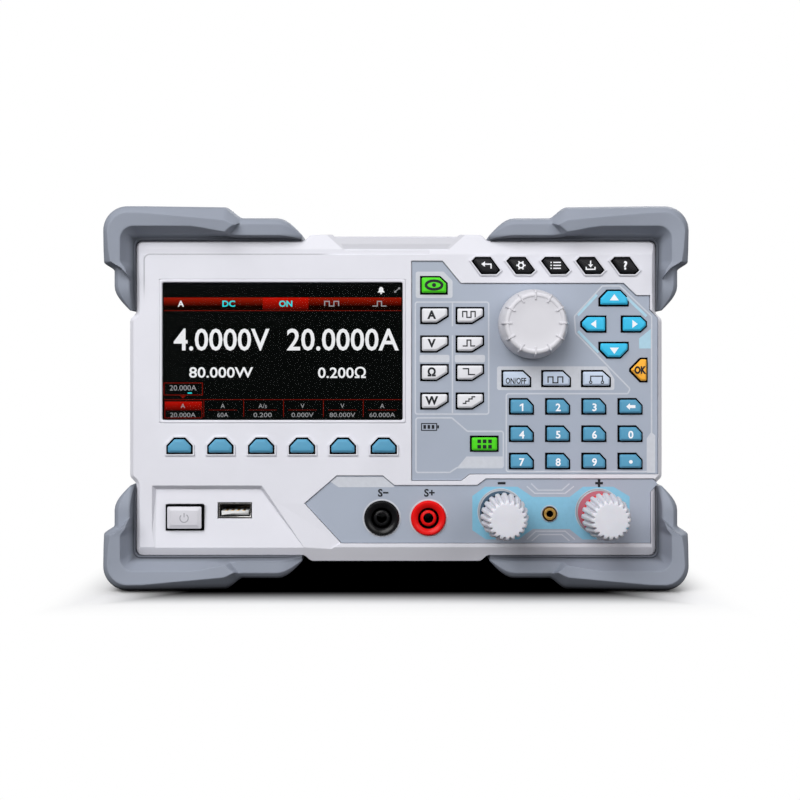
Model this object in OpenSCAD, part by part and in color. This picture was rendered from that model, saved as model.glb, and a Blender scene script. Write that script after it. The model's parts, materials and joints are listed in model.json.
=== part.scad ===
// Bench DC electronic load: a moulded front with display, keys, knob and terminals, a sheet-metal
// cover over a chassis with heat sink and fan, and rubber bumpers on all eight corners.
// The front faces -Y, +X is to the right, and z = 0 is the underside of the bumpers.
// Inside the modules y = 0 is the face of the bezel and y grows towards the rear.

/* [Case] */
// Depth from the face of the bezel to the rear panel
case_d = 400; // [330:1:480]
// Wall of the cover
cover_wall = 1; // [0.8:0.1:1.6]
// Corner radius of the cover
cover_r = 2.5; // [2.4:0.1:4]
// Sheet of the chassis
chassis_t = 1.2; // [0.8:0.1:2]

/* [Front bezel] */
// Depth of the bezel behind its face
bezel_d = 28; // [24:1:40]
// Thickness of the face
face_t = 4; // [3.4:0.1:5]
// Thickness of the skirt behind the face
skirt_t = 2.5; // [1.6:0.1:3]
// Bevel along the edge of the face
edge_bevel = 1.6; // [0.8:0.1:1.8]
// From the left side of the bezel to the display frame
display_left = 12.1; // [11:0.1:30]
// From the display frame down from the top of the bezel
display_top = 18.3; // [15:0.1:24]
// Between the display frame and the key panel
display_gap = 2.4; // [2:0.1:12]
// From the key panel to the right side of the bezel
panel_side = 1.8; // [1.6:0.1:12]
// From the bottom of the bezel to the terminal panel
panel_bottom = 7.7; // [7:0.1:16]
// Between the terminal panel and the key panel
panel_gap = 2.1; // [1.8:0.1:8]
// From the key panel to the top of the bezel
top_band = 20.1; // [18:0.1:30]
// Height of the sloped band along the bottom edge
bottom_slope_h = 6; // [3:0.1:7]
// Setback of the sloped band along the bottom edge
bottom_slope_d = 3; // [1:0.1:3.4]

/* [Display] */
// Visible width of the display
glass_w = 98; // [80:0.5:120]
// Visible height of the display
glass_h = 56; // [45:0.5:60]
// Bevel around the display opening
glass_bevel = 1.5; // [0.8:0.1:1.6]
// Overlap of the window behind the opening
window_lap = 2; // [1:0.1:2.2]
// Thickness of the display module
lcd_t = 5; // [3:0.1:7]

/* [Key panel] */
// Thickness of the key and terminal panels
panel_t = 1.6; // [1.2:0.1:2]
// How far the panels lie below the face of the bezel
panel_sink = 0.6; // [0.3:0.1:0.8]
// Ledge that carries the edge of the key panel
ledge = 1.2; // [0.8:0.1:1.3]
// From the panel's left edge to the first column of function keys
fn_left = 9.3; // [9:0.1:14]
// Column pitch of the function keys
fn_pitch_x = 14.5; // [14:0.1:18]
// Row pitch of the function keys
fn_pitch_z = 11.67; // [9.5:0.01:12.5]
// From the function keys to the first column of number keys
pad_gap = 21.1; // [20.8:0.1:28]
// Column pitch of the number keys
num_pitch_x = 14.83; // [14:0.01:18]
// Row pitch of the number keys
num_pitch_z = 11.19; // [9.5:0.01:14]
// From the last column of number keys to the panel's right edge
num_right = 11.3; // [11:0.1:16]
// From the panel's bottom edge to the last row of number keys
num_bottom = 5.2; // [5.2:0.1:9]
// From the first row of number keys up to the action keys
action_rise = 11.4; // [9.5:0.1:16]
// Pitch of the action keys
action_pitch = 16.3; // [14.5:0.1:17]
// From the action keys up to the arrow keys and the knob
arrow_rise = 22.3; // [21.5:0.1:28]
// From the arrow keys' centre up to the panel's top edge
arrow_top = 16.6; // [16.6:0.1:20]
// From the arrow keys' centre to the left and right keys
arrow_reach_x = 8.3; // [8:0.1:8.6]
// From the arrow keys' centre to the up and down keys
arrow_reach_z = 10.7; // [9:0.1:10.9]
// Pitch of the menu keys
menu_pitch = 14.2; // [13.6:0.1:16]

/* [Keys] */
// Height of a key above its panel
key_proud = 1.8; // [1.2:0.1:3]
// Travel of a key
key_travel = 1; // [0.5:0.1:1.2]
// Gap between a key and its opening
key_gap = 0.4; // [0.3:0.05:0.6]
// Bevel along a key's front edge
key_bevel = 0.5; // [0.2:0.05:0.8]
// Corner radius of a key
key_r = 0.6; // [0.3:0.05:0.8]
// Flange that keeps a key behind its panel
key_flange = 0.6; // [0.5:0.05:0.7]
// Raised rim around the keys that sit in the bezel
key_rim = 0.6; // [0.4:0.05:1]
// Opening of a soft key: width and height
soft_key = [10.85, 6.85]; // [6:0.05:14]
// Opening of the power button: width and height
power_key = [15.7, 10.7]; // [8:0.1:18]
// Opening of a menu key: width and height
menu_key = [11.9, 7.1]; // [7:0.1:13]
// Opening of the display key: width and height
view_key = [11.4, 7.7]; // [7:0.1:12]
// Opening of a function key: width and height
fn_key = [11.75, 7.1]; // [7:0.05:12.5]
// Opening of the app key: width and height
app_key = [11.8, 6.7]; // [6:0.1:12]
// Opening of the up or down key: width and height
up_key = [12.5, 7]; // [6:0.1:13]
// Opening of the left or right key: width and height
side_key = [10.8, 7.1]; // [6:0.1:11]
// Opening of the OK key: width and height
ok_key = [7.65, 10.2]; // [6:0.05:11]
// Opening of an action key: width and height
action_key = [12.3, 7.1]; // [6:0.1:13]
// Opening of a number key: width and height
num_key = [10.35, 6.9]; // [6:0.05:12]

/* [Encoder knob] */
// Radius of the knob at its base
knob_r = 14.2; // [11:0.1:14.4]
// Radius of the knob's dished face
knob_face_r = 11.3; // [8:0.1:11.6]
// Height of the knob above the panel
knob_h = 12.5; // [9:0.1:18]
// Radius of the encoder shaft
shaft_r = 3; // [2:0.1:3.5]

/* [Terminals] */
// Height of the terminal panel
terminal_h = 26.2; // [25:0.1:34]
// Distance between the binding posts
post_pitch = 40; // [36:0.1:44]
// Reach of a binding post in front of the bezel
post_reach = 33; // [28:0.5:40]
// Radius of a post's base ring
post_base_r = 9.2; // [8.8:0.1:10.5]
// Radius of a post knob at its fluted crown
post_knob_r = 9.4; // [8:0.1:11]
// Radius of a post knob at its face
post_face_r = 6.4; // [5:0.1:7.5]
// Number of flutes on a post knob
post_flutes = 20; // [12:1:24]
// Radius of a post's stud
stud_r = 3; // [2.5:0.1:3.5]
// Distance between the sense sockets
sense_pitch = 19.1; // [17:0.1:22]
// Radius of a sense socket's flange
sense_r = 7.2; // [6.8:0.1:8]
// Radius of a sense socket's contact bore
sense_bore_r = 2.05; // [1.9:0.05:2.2]

/* [Bumpers] */
// Rubber beyond the bezel at the sides
pad_side = 10.5; // [8:0.1:14]
// Rubber beyond the bezel at the top and bottom
pad_top = 11.5; // [8:0.1:14]
// Reach of a bumper's lip beyond the bezel or the rear panel
lip = 9; // [6:0.1:12]
// Depth of a bumper along the case
bumper_d = 38; // [32:1:60]
// Length of a bumper along the top or bottom
bumper_x = 81; // [65:0.5:95]
// Length of a bumper along a side
bumper_z = 42.6; // [38:0.1:54]
// Length of the thick pad along the top or bottom
pad_x = 49; // [36:0.5:56]
// Length of the thick pad along a side
pad_z = 26.5; // [22:0.1:28]
// Drop from the thick pad to the thin end
pad_drop = 4.6; // [2:0.1:6]
// Outer corner radius of a bumper
bumper_r = 10; // [6:0.5:11]
// Depth of the bumpers' seat in the bezel
seat = 2.6; // [2:0.1:3.4]

/* [Fan and heat sink] */
// Side of the fan frame
fan_w = 80; // [70:1:92]
// Depth of the fan frame
fan_d = 25; // [20:1:32]
// Number of fan blades
fan_blades = 7; // [5:1:9]
// Length of the heat sink
sink_l = 240; // [120:1:260]
// Height of the heat sink
sink_h = 86; // [60:1:100]
// Length of the heat sink's fins
fin_l = 66; // [40:1:70]
// Number of fins
fins = 11; // [6:1:13]

/* [Hidden] */
$fn = 48;

// Clearances
fit = 0.2;            // fixed pieces that slide together
run_fit = 0.05;       // a shaft in its bore, on the radius
bumper_fit = 0.15;    // rubber over the case
over = 1;             // how far a cut runs past a face

// Front layout, worked out from the display and the key pitches
screen_w = glass_w + 2 * glass_bevel;
screen_h = glass_h + 2 * glass_bevel;
key_panel_w = fn_left + fn_pitch_x + pad_gap + 3 * num_pitch_x + num_right;
key_panel_h = num_bottom + 2 * num_pitch_z + action_rise + arrow_rise + arrow_top;
bezel_w = display_left + screen_w + display_gap + key_panel_w + panel_side;
bezel_h = panel_bottom + terminal_h + panel_gap + key_panel_h + top_band;
overall_w = bezel_w + 2 * pad_side;
overall_h = bezel_h + 2 * pad_top;
overall_d = post_reach + case_d + lip;
y_face = post_reach - overall_d / 2;
z_mid = overall_h / 2;
x_left = -bezel_w / 2;
x_right = bezel_w / 2;
z_low = pad_top;
z_high = pad_top + bezel_h;

screen_x = x_left + display_left + screen_w / 2;
screen_z = z_high - display_top - screen_h / 2;
key_x0 = x_left + display_left + screen_w + display_gap;
key_x1 = key_x0 + key_panel_w;
term_z0 = z_low + panel_bottom;
term_z1 = term_z0 + terminal_h;
key_z0 = term_z1 + panel_gap;
key_z1 = key_z0 + key_panel_h;

// Key places
fn_x0 = key_x0 + fn_left;
fn_x1 = fn_x0 + fn_pitch_x;
num_x0 = fn_x1 + pad_gap;
num_x3 = num_x0 + 3 * num_pitch_x;
num_z2 = key_z0 + num_bottom;
num_z0 = num_z2 + 2 * num_pitch_z;
action_x0 = num_x0 - 2.1;
action_z = num_z0 + action_rise;
arrow_x = num_x3 - 6.75;
arrow_z = action_z + arrow_rise;
knob_x = num_x0 + 4.5;
fn_z0 = arrow_z + 3.5;
view_x = fn_x0 - 0.25;
view_z = arrow_z + 15.9;
app_x = fn_x1 + 5.9;
app_z = num_z0 - num_pitch_z - 4.1;
ok_x = num_x3 + 3.4;
ok_z = action_z + 3.5;
menu_x4 = key_x1 - 13.6;
menu_z = key_z1 + 7.3;
soft_pitch = 16.69;
soft_x0 = screen_x - 2.5 * soft_pitch - 0.3;
soft_z = screen_z - screen_h / 2 - 9.2;
power_x = x_left + 22.6;
power_z = z_low + 18.2;
usb_x = power_x + 20.3;
usb_z = power_z + 2.7;
usb_opening = [14.1, 6.6];

// Terminal places
plus_x = x_right - 26.1;
minus_x = plus_x - post_pitch;
post_z = term_z0 + 12.8;
sense_plus_x = minus_x - 29.6;
sense_minus_x = sense_plus_x - sense_pitch;
sense_z = post_z - 2.6;
jack_x = (plus_x + minus_x) / 2;
jack_z = post_z - 0.8;
jack_r = 2.4;
jack_bore_r = 1.4;

// Layers behind the face
panel_back = panel_sink + panel_t;
window_y = glass_bevel + 0.2;
board_y = 12;
board_t = 1.6;
switch_h = 5;
key_end = board_y - switch_h - key_travel - 0.3;
flange_t = 0.8;
flange_gap = 0.1;

// Cover, bumper and chassis places
cover_w = bezel_w - 2 * seat;
cover_h = bezel_h - 2 * seat;
inner_w = cover_w - 2 * cover_wall;
inner_h = cover_h - 2 * cover_wall;
floor_z = z_mid - inner_h / 2;
floor_top = floor_z + chassis_t;
bumper_tip_x = overall_w / 2 - bumper_x;
bumper_tip_z = overall_h / 2 - bumper_z;
tip_room = 1;
rear_in = case_d - chassis_t;

// Inner pieces
standoff_h = 8;
main_board_z = floor_top + standoff_h;
main_board_x0 = 4;
main_board_x1 = inner_w / 2 - 5;
main_board_y0 = bezel_d + 40;
main_board_y1 = rear_in - 1;
sink_base_t = 8;
sink_x = -12;
sink_y0 = bezel_d + 60;
fan_x = sink_x - sink_base_t - fin_l / 2 - 4;
fan_z = floor_top + fan_w / 2 + 4;
fan_duct_r = fan_w / 2 - 1.8;
fan_hub_r = 0.21 * fan_w;
fan_pin_r = 1.5;

// Colours
bezel_colour = [0.86, 0.86, 0.9];
panel_colour = [0.62, 0.65, 0.72];
blue_key = [0.36, 0.61, 0.74];
cyan_key = [0.24, 0.76, 0.92];
pale_key = [0.72, 0.77, 0.84];
white_key = [0.88, 0.88, 0.91];
black_key = [0.12, 0.12, 0.14];
green_key = [0.35, 0.82, 0.18];
orange_key = [0.95, 0.64, 0.24];
rubber = [0.55, 0.58, 0.64];
cover_grey = [0.8, 0.8, 0.83];
steel = [0.75, 0.76, 0.78];
board_green = [0.1, 0.38, 0.2];

// Outline helpers: every outline is a list of [x, z] points, counter-clockwise seen from the front
function unit(v) = v / norm(v);
function left_of(v) = [-v.y, v.x];
function at(list, i) = list[(i + len(list)) % len(list)];
function reversed(list) = [for (i = [len(list) - 1:-1:0]) list[i]];
function moved(points, place) = [for (p = points) p + place];

// Moves every edge inwards by d
function inset(points, d) = [
    for (i = [0:len(points) - 1])
        let (
            p = points[i],
            before = left_of(unit(p - at(points, i - 1))),
            after = left_of(unit(at(points, i + 1) - p))
        )
        p + (before + after) * d / (1 + before * after)
];

// The arc that rounds corner p between a and b
function corner_arc(a, p, b, r, steps) =
    let (
        u = unit(a - p),
        v = unit(b - p),
        half = acos(u * v) / 2,
        centre = p + unit(u + v) * r / sin(half),
        from = p + u * r / tan(half) - centre,
        to = p + v * r / tan(half) - centre,
        start = atan2(from.y, from.x),
        sweep = (atan2(to.y, to.x) - start + 540) % 360 - 180
    )
    [for (i = [0:steps]) centre + r * [cos(start + sweep * i / steps), sin(start + sweep * i / steps)]];

function rounded(points, r, steps = 2) = [
    for (i = [0:len(points) - 1])
        each corner_arc(at(points, i - 1), points[i], at(points, i + 1), r, steps)
];

// A rectangle with corners cut by [dx, dz]: bottom left, bottom right, top right, top left
function cut_corner(p, c, first, second) = norm(c) > 0 ? [p + first, p + second] : [p];
function cut_box(size, bl = [0, 0], br = [0, 0], tr = [0, 0], tl = [0, 0]) = [
    each cut_corner(-size / 2, bl, [0, bl.y], [bl.x, 0]),
    each cut_corner([size.x, -size.y] / 2, br, [-br.x, 0], [0, br.y]),
    each cut_corner(size / 2, tr, [0, -tr.y], [-tr.x, 0]),
    each cut_corner([-size.x, size.y] / 2, tl, [tl.x, 0], [0, -tl.y])
];

// Copies a first-quadrant run of points into all four quadrants about a centre
function four_ways(run, centre) = moved([
    each run,
    each reversed([for (p = run) [-p.x, p.y]]),
    each [for (p = run) -p],
    each reversed([for (p = run) [p.x, -p.y]])
], centre);

// Solid helpers
module plate(points, y0, y1) {
    translate([0, y1, 0])
        rotate([90, 0, 0])
            linear_extrude(y1 - y0)
                polygon(points);
}

module block(x0, x1, y0, y1, z0, z1) {
    translate([x0, y0, z0])
        cube([x1 - x0, y1 - y0, z1 - z0]);
}

module rod(x, z, r, y0, y1) {
    translate([x, y1, z])
        rotate([90, 0, 0])
            cylinder(r = r, h = y1 - y0);
}

// A turned piece on an axis along y; the profile holds [radius, height in front of the bezel]
module turned(x, z, profile) {
    translate([x, 0, z])
        rotate([90, 0, 0])
            rotate_extrude()
                polygon(profile);
}

// A prism along x from a profile of [y, z] points
module ridge(x0, x1, profile) {
    translate([x0, 0, 0])
        rotate([90, 0, 90])
            linear_extrude(x1 - x0)
                polygon(profile);
}

// A solid through rings of 3-D points, each ring turning right-handed about the way the rings go
module skin(rings) {
    m = len(rings[0]);
    last = (len(rings) - 1) * m;
    sides = [
        for (k = [0:len(rings) - 2])
            for (i = [0:m - 1])
                [k * m + i, (k + 1) * m + i, (k + 1) * m + (i + 1) % m, k * m + (i + 1) % m]
    ];
    polyhedron(
        points = [for (ring = rings) each ring],
        faces = [[for (i = [0:m - 1]) i], each sides, [for (i = [m - 1:-1:0]) last + i]],
        convexity = 6
    );
}

function ring_at(points, y) = [for (p = points) [p.x, y, p.y]];

// A plate with a bevelled front edge
module bevelled(points, y0, y1, bevel) {
    skin([
        ring_at(points, y1),
        ring_at(points, y0 + bevel),
        ring_at(inset(points, bevel), y0)
    ]);
}

// A closed ring that takes a bevel off the front edge of a plate
module edge_cut(points, y, bevel) {
    past = 0.3;
    inner = inset(points, bevel + past);
    outer = inset(points, -past);
    m = len(points);
    polyhedron(
        points = [
            each ring_at(outer, y + bevel + past),
            each ring_at(outer, y - past),
            each ring_at(inner, y - past)
        ],
        faces = [
            for (k = [0:2])
                let (next = (k + 1) % 3)
                for (i = [0:m - 1])
                    [k * m + i, next * m + i, next * m + (i + 1) % m, k * m + (i + 1) % m]
        ],
        convexity = 6
    );
}

module at_face() {
    translate([0, y_face, 0])
        children();
}

// Outlines of the case
function box_outline(w, h, r) =
    rounded(moved(cut_box([w, h]), [0, z_mid]), r, 3);

bezel_corners =
    let (
        x = bezel_w / 2,
        z = bezel_h / 2,
        end_x = bumper_tip_x - tip_room,
        end_z = bumper_tip_z - tip_room
    )
    four_ways([
        [x, end_z - seat],
        [x - seat, end_z],
        [x - seat, z - seat],
        [end_x, z - seat],
        [end_x - seat, z]
    ], [0, z_mid]);
bezel_outline = rounded(bezel_corners, cover_r, 3);

cover_outline = box_outline(cover_w, cover_h, cover_r);
sheet_outline = box_outline(inner_w - 2 * fit, inner_h - 2 * fit, cover_r - cover_wall);

// The key panel has a raised shoulder at its upper left, a stepped upper right and a lower lobe
lobe_drop = 2.7;
shoulder_rise = 9.1;
shoulder_w = 12.5;
key_step = 3.4;
key_outline = [
    [key_x0, key_z0 - lobe_drop],
    [fn_x1 - 3.6, key_z0 - lobe_drop],
    [fn_x1 - 0.1, key_z0],
    [key_x1, key_z0],
    [key_x1, arrow_z + 2.5],
    [key_x1 - key_step, arrow_z + 2.5 + key_step],
    [key_x1 - key_step, key_z1 - 5],
    [key_x1 - 8.9, key_z1 - 5],
    [key_x1 - 14.1, key_z1],
    [key_x0 + shoulder_w + 7.5, key_z1],
    [key_x0 + shoulder_w, key_z1 + shoulder_rise],
    [key_x0, key_z1 + shoulder_rise]
];

// The terminal panel clears the key panel's lobe and has a slanted left end with a raised tab
tab_rise = 1.2;
terminal_outline = [
    [sense_minus_x - 16.5, term_z0],
    [plus_x + 21.4, term_z0],
    [plus_x + 21.4, term_z1 - 5.2],
    [x_right - 1.8, term_z1 - 2],
    [x_right - 3.6, term_z1],
    [fn_x1 + 6.6, term_z1],
    [fn_x1 + 3, term_z1 - lobe_drop],
    [sense_minus_x + 5.1, term_z1 - lobe_drop],
    [sense_minus_x + 0.4, term_z1 + tab_rise],
    [sense_minus_x - 18.4, term_z1 + tab_rise],
    [sense_minus_x - 31.4, term_z1 - 10]
];

// Outlines of the key openings
soft_outline = cut_box(soft_key, tr = [3.1, 3.3], tl = [3.1, 3.3]);
power_cut = [0.7, 0.7];
power_outline = cut_box(power_key, bl = power_cut, br = power_cut, tr = power_cut, tl = power_cut);
menu_outline =
    let (s = menu_key / 2)
    [
        [s.x - 1.7, -s.y],
        [s.x, 1.65 - s.y],
        [s.x - 4, s.y],
        [1.7 - s.x, s.y],
        [-s.x, s.y - 1.65],
        [4 - s.x, -s.y]
    ];
view_outline = cut_box(view_key, tr = [3.1, 2.9]);
fn_outline = cut_box(fn_key, br = [4.9, 3.05]);
app_outline = cut_box(app_key);
up_outline = cut_box(up_key, tr = [3.4, 3.5], tl = [3.4, 3.5]);
down_outline = cut_box(up_key, bl = [3.4, 3.5], br = [3.4, 3.5]);
left_outline = cut_box(side_key, bl = [2.6, 2.5], tl = [2.6, 2.5]);
right_outline = cut_box(side_key, br = [2.6, 2.5], tr = [2.6, 2.5]);
ok_outline = cut_box(ok_key, bl = [4.4, ok_key.y / 2 - 0.6], tl = [4.4, ok_key.y / 2 - 0.6]);
action_outline = cut_box(action_key, tr = [3.3, 3.1]);
num_outline = cut_box(num_key, tr = [2.65, 2.9]);

// Keys: name, place, outline of the opening, whether it sits in the bezel, colour
num_names = [
    "number_key_1", "number_key_2", "number_key_3", "erase_key",
    "number_key_4", "number_key_5", "number_key_6", "number_key_0",
    "number_key_7", "number_key_8", "number_key_9", "point_key"
];
bezel_keys = [
    for (i = [0:5])
        [str("soft_key_", i + 1), [soft_x0 + i * soft_pitch, soft_z], soft_outline, true, blue_key],
    ["power_button", [power_x, power_z], power_outline, true, white_key],
    for (i = [0:4])
        [str("menu_key_", i + 1), [menu_x4 - (4 - i) * menu_pitch, menu_z], menu_outline, true, black_key]
];
panel_keys = [
    ["display_key", [view_x, view_z], view_outline, false, green_key],
    for (i = [0:7])
        [
            str("function_key_", i + 1),
            [fn_x0 + (i % 2) * fn_pitch_x, fn_z0 - floor(i / 2) * fn_pitch_z],
            fn_outline, false, white_key
        ],
    ["app_key", [app_x, app_z], app_outline, false, green_key],
    ["up_key", [arrow_x, arrow_z + arrow_reach_z], up_outline, false, cyan_key],
    ["down_key", [arrow_x, arrow_z - arrow_reach_z], down_outline, false, cyan_key],
    ["left_key", [arrow_x - arrow_reach_x, arrow_z], left_outline, false, cyan_key],
    ["right_key", [arrow_x + arrow_reach_x, arrow_z], right_outline, false, cyan_key],
    ["ok_key", [ok_x, ok_z], ok_outline, false, orange_key],
    for (i = [0:2])
        [
            str("action_key_", i + 1),
            [action_x0 + i * action_pitch, action_z],
            action_outline, false, pale_key
        ],
    for (i = [0:11])
        [
            num_names[i],
            [num_x0 + (i % 4) * num_pitch_x, num_z0 - floor(i / 4) * num_pitch_z],
            num_outline, false, blue_key
        ]
];
keys = concat(bezel_keys, panel_keys);

function opening(k) = moved(k[2], k[1]);

fixed_nodes = [
    "front_bezel", "fascia_panels", "display_window", "lcd_module", "cover", "chassis",
    "corner_bumpers", "negative_terminals", "positive_terminals", "studs_and_screws",
    "circuit_boards", "heat_sink", "fan_frame", "connectors"
];
moving_nodes = ["encoder_knob", "minus_post_knob", "plus_post_knob", "fan_rotor"];

// A key: bevelled cap, flange behind its panel and a stem that ends just short of its switch
module key(k) {
    base = k[3] ? 0 : panel_sink;
    back = (k[3] ? face_t : panel_back) + flange_gap;
    cap = rounded(inset(opening(k), key_gap), key_r);
    stem = 1.6;
    color(k[4])
        at_face() {
            bevelled(cap, base - key_proud, back + flange_t, key_bevel);
            plate(inset(opening(k), key_gap - key_flange), back, back + flange_t);
            block(k[1].x - stem, k[1].x + stem, back, key_end, k[1].y - stem, k[1].y + stem);
        }
}

// Bosses that carry the key board, and the two that carry the power and USB board
boss_r = 2.4;
boss_pilot_r = 1;
board_x = bezel_w / 2 - seat - skirt_t - 0.7;
board_z1 = z_high - seat - skirt_t - 0.7;
board_z0 = term_z1 - 3.4;
boss_in = 3;
key_bosses = [
    [boss_in - board_x, board_z1 - boss_in],
    [board_x - boss_in, board_z1 - boss_in],
    [0, board_z1 - boss_in],
    [boss_in - board_x, board_z0 + boss_in + 4],
    [key_x0 - 5.5, board_z0 + boss_in + 4],
    [jack_x + 6, term_z1 - 1]
];
usb_board = [power_x - 12, usb_x + 14, z_low + 6.5, power_z + 12];
usb_bosses = [
    [usb_board[0] + boss_in, usb_board[2] + boss_in],
    [usb_board[1] - boss_in, usb_board[3] - boss_in]
];

// The scooped recess around the power button and the USB socket, deepest at its top
recess_d = 2.2;
recess_top = 2.3;
module recess() {
    z0 = z_low + 4.4;
    z1 = term_z1 - 2;
    x0 = x_left + 8.6;
    floor_ring = [
        [x0 + 2, 0, z0],
        [usb_x + 29.5, 0, z0],
        [usb_x + 10.6, recess_d, z1 - recess_top],
        [x0 + 2, recess_d, z1 - recess_top]
    ];
    front_ring = [
        [x0, -over, z0],
        [usb_x + 31.5, -over, z0],
        [usb_x + 11.5, -over, z1],
        [x0, -over, z1]
    ];
    skin([floor_ring, front_ring]);
}

// A facet that falls from a crease to the slanted end of the terminal panel
module side_facet() {
    ends = [
        [sense_minus_x - 42, term_z1 - 10],
        [sense_minus_x - 30, z_low],
        [sense_minus_x - 16.5, term_z0],
        [sense_minus_x - 31.4, term_z1 - 10]
    ];
    depths = [0, 0, panel_sink, 0];
    skin([
        [for (i = [0:3]) [ends[i].x, depths[i], ends[i].y]],
        ring_at(ends, -over)
    ]);
}

// The shallow dip in the middle of the top edge
dip_w = 52;
dip_h = 6.3;
dip_d = 0.8;
dip_edge = 1.3;
module top_dip() {
    top = z_high + over;
    side = 0.7 * (dip_h + over);
    plate([
        [-dip_w / 2 + side, z_high - dip_h],
        [dip_w / 2 - side, z_high - dip_h],
        [dip_w / 2, top],
        [-dip_w / 2, top]
    ], -over, dip_d);
    plate([
        [-dip_w / 2 + dip_edge, z_high - dip_edge],
        [dip_w / 2 - dip_edge, z_high - dip_edge],
        [dip_w / 2 + over, top],
        [-dip_w / 2 - over, top]
    ], -over, bezel_d / 3);
}

module display_opening() {
    glass = moved(cut_box([glass_w, glass_h]), [screen_x, screen_z]);
    skin([ring_at(glass, glass_bevel), ring_at(inset(glass, -glass_bevel - over), -over)]);
    plate(glass, 0, face_t);
    plate(inset(glass, -window_lap - fit), window_y, face_t + over);
}

post_neck_r = 6;
sense_neck_r = 5.6;
module terminal_bores(y0, y1) {
    for (x = [minus_x, plus_x])
        rod(x, post_z, post_neck_r + fit, y0, y1);
    for (x = [sense_minus_x, sense_plus_x])
        rod(x, sense_z, sense_neck_r + fit, y0, y1);
    rod(jack_x, jack_z, jack_r + fit, y0, y1);
}

// The face slopes away at its bottom and top, and steps down along its upper left corner
band = 8.2;
band_step = 0.4;
module corner_step() {
    side = 5.9;
    reach = 24;
    end_x = screen_x + 60;
    z1 = z_high - band;
    block(x_left - over, end_x, -over, band_step, z1, z_high + over);
    skin([
        [
            [x_left - over, band_step, z1 + over],
            [x_left - over, -band_step / 4, z1 - reach],
            [x_left + side, -band_step / 4, z1 - reach],
            [x_left + side, band_step, z1 + over]
        ],
        [
            [x_left - over, -over, z1 + over],
            [x_left - over, -over, z1 - reach],
            [x_left + side, -over, z1 - reach],
            [x_left + side, -over, z1 + over]
        ]
    ]);
}

module bezel_slopes() {
    fall = 1.5;
    ridge(x_left - over, x_right + over, [
        [0, z_low + bottom_slope_h],
        [-over, z_low + bottom_slope_h],
        [-over, z_low - over],
        [bottom_slope_d, z_low]
    ]);
    ridge(x_left - over, x_right + over, [
        [0, z_high - band],
        [fall, z_high],
        [-over, z_high + over],
        [-over, z_high - band]
    ]);
}

module front_bezel() {
    color(bezel_colour)
        at_face()
            difference() {
                union() {
                    difference() {
                        plate(bezel_outline, 0, bezel_d);
                        edge_cut(bezel_outline, 0, edge_bevel);
                        plate(rounded(inset(bezel_corners, skirt_t), 1), face_t, bezel_d + over);
                        bezel_slopes();
                        corner_step();
                    }
                    for (k = bezel_keys)
                        if (k[0] != "power_button")
                            plate(inset(opening(k), -key_rim), -key_rim, face_t);
                    for (p = concat(key_bosses, usb_bosses))
                        rod(p.x, p.y, boss_r, face_t - over, board_y);
                }
                for (k = bezel_keys)
                    plate(opening(k), -over, face_t + over);
                for (p = concat(key_bosses, usb_bosses))
                    rod(p.x, p.y, boss_pilot_r, face_t, board_y + over);
                plate(inset(key_outline, -fit), -over, panel_back);
                plate(inset(key_outline, ledge), 0, face_t + over);
                plate(inset(terminal_outline, -fit), -over, panel_back);
                terminal_bores(0, face_t + over);
                plate(moved(cut_box(usb_opening), [usb_x, usb_z]), -over, face_t + over);
                display_opening();
                recess();
                side_facet();
                top_dip();
            }
}

bushing_r = shaft_r + 1.5;
module fascia_panels() {
    color(panel_colour)
        at_face() {
            difference() {
                plate(key_outline, panel_sink, panel_back);
                for (k = panel_keys)
                    plate(opening(k), 0, panel_back + over);
                rod(knob_x, arrow_z, bushing_r + fit, 0, panel_back + over);
            }
            difference() {
                plate(terminal_outline, panel_sink, panel_back);
                terminal_bores(0, panel_back + over);
            }
        }
}

module display_window() {
    glass = moved(cut_box([glass_w, glass_h]), [screen_x, screen_z]);
    color([0.08, 0.09, 0.1])
        at_face()
            plate(inset(glass, -window_lap), window_y, face_t);
}

module lcd_module() {
    edge = 3.5;
    glass = moved(cut_box([glass_w, glass_h]), [screen_x, screen_z]);
    color([0.2, 0.22, 0.25])
        at_face()
            bevelled(inset(glass, -edge), face_t, face_t + lcd_t, 0.4);
}

// Cover: a sleeve with rows of slots in both sides
slot_w = 3;
slot_h = 24;
slot_pitch = 7;
slot_rows = 2;
slot_columns = 18;
module side_slots() {
    first_y = bezel_d + 60;
    row_pitch = slot_h + 10;
    for (row = [0:slot_rows - 1])
        for (i = [0:slot_columns - 1])
            translate([-overall_w / 2, first_y + i * slot_pitch, z_mid + (row - 0.5) * row_pitch])
                rotate([90, 0, 90])
                    linear_extrude(overall_w) {
                        square([slot_w, slot_h - slot_w], center = true);
                        for (end = [-1, 1])
                            translate([0, end * (slot_h - slot_w) / 2])
                                circle(d = slot_w);
                    }
}

module cover() {
    color(cover_grey)
        at_face()
            difference() {
                plate(cover_outline, bezel_d, case_d);
                plate(box_outline(inner_w, inner_h, cover_r - cover_wall), bezel_d - over, case_d + over);
                side_slots();
            }
}

// Ring slots with four spokes left standing, in front of the fan
module fan_grille() {
    slot = 4;
    web = 2.4;
    spoke = 4;
    first = 9;
    rings = floor((fan_duct_r - first) / (slot + web));
    translate([fan_x, case_d + over, fan_z])
        rotate([90, 0, 0])
            linear_extrude(chassis_t + 2 * over)
                difference() {
                    for (i = [0:rings - 1])
                        difference() {
                            circle(r = first + i * (slot + web) + slot);
                            circle(r = first + i * (slot + web));
                        }
                    for (turn = [45, 135])
                        rotate(turn)
                            square([2 * fan_w, spoke], center = true);
                }
}

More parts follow.
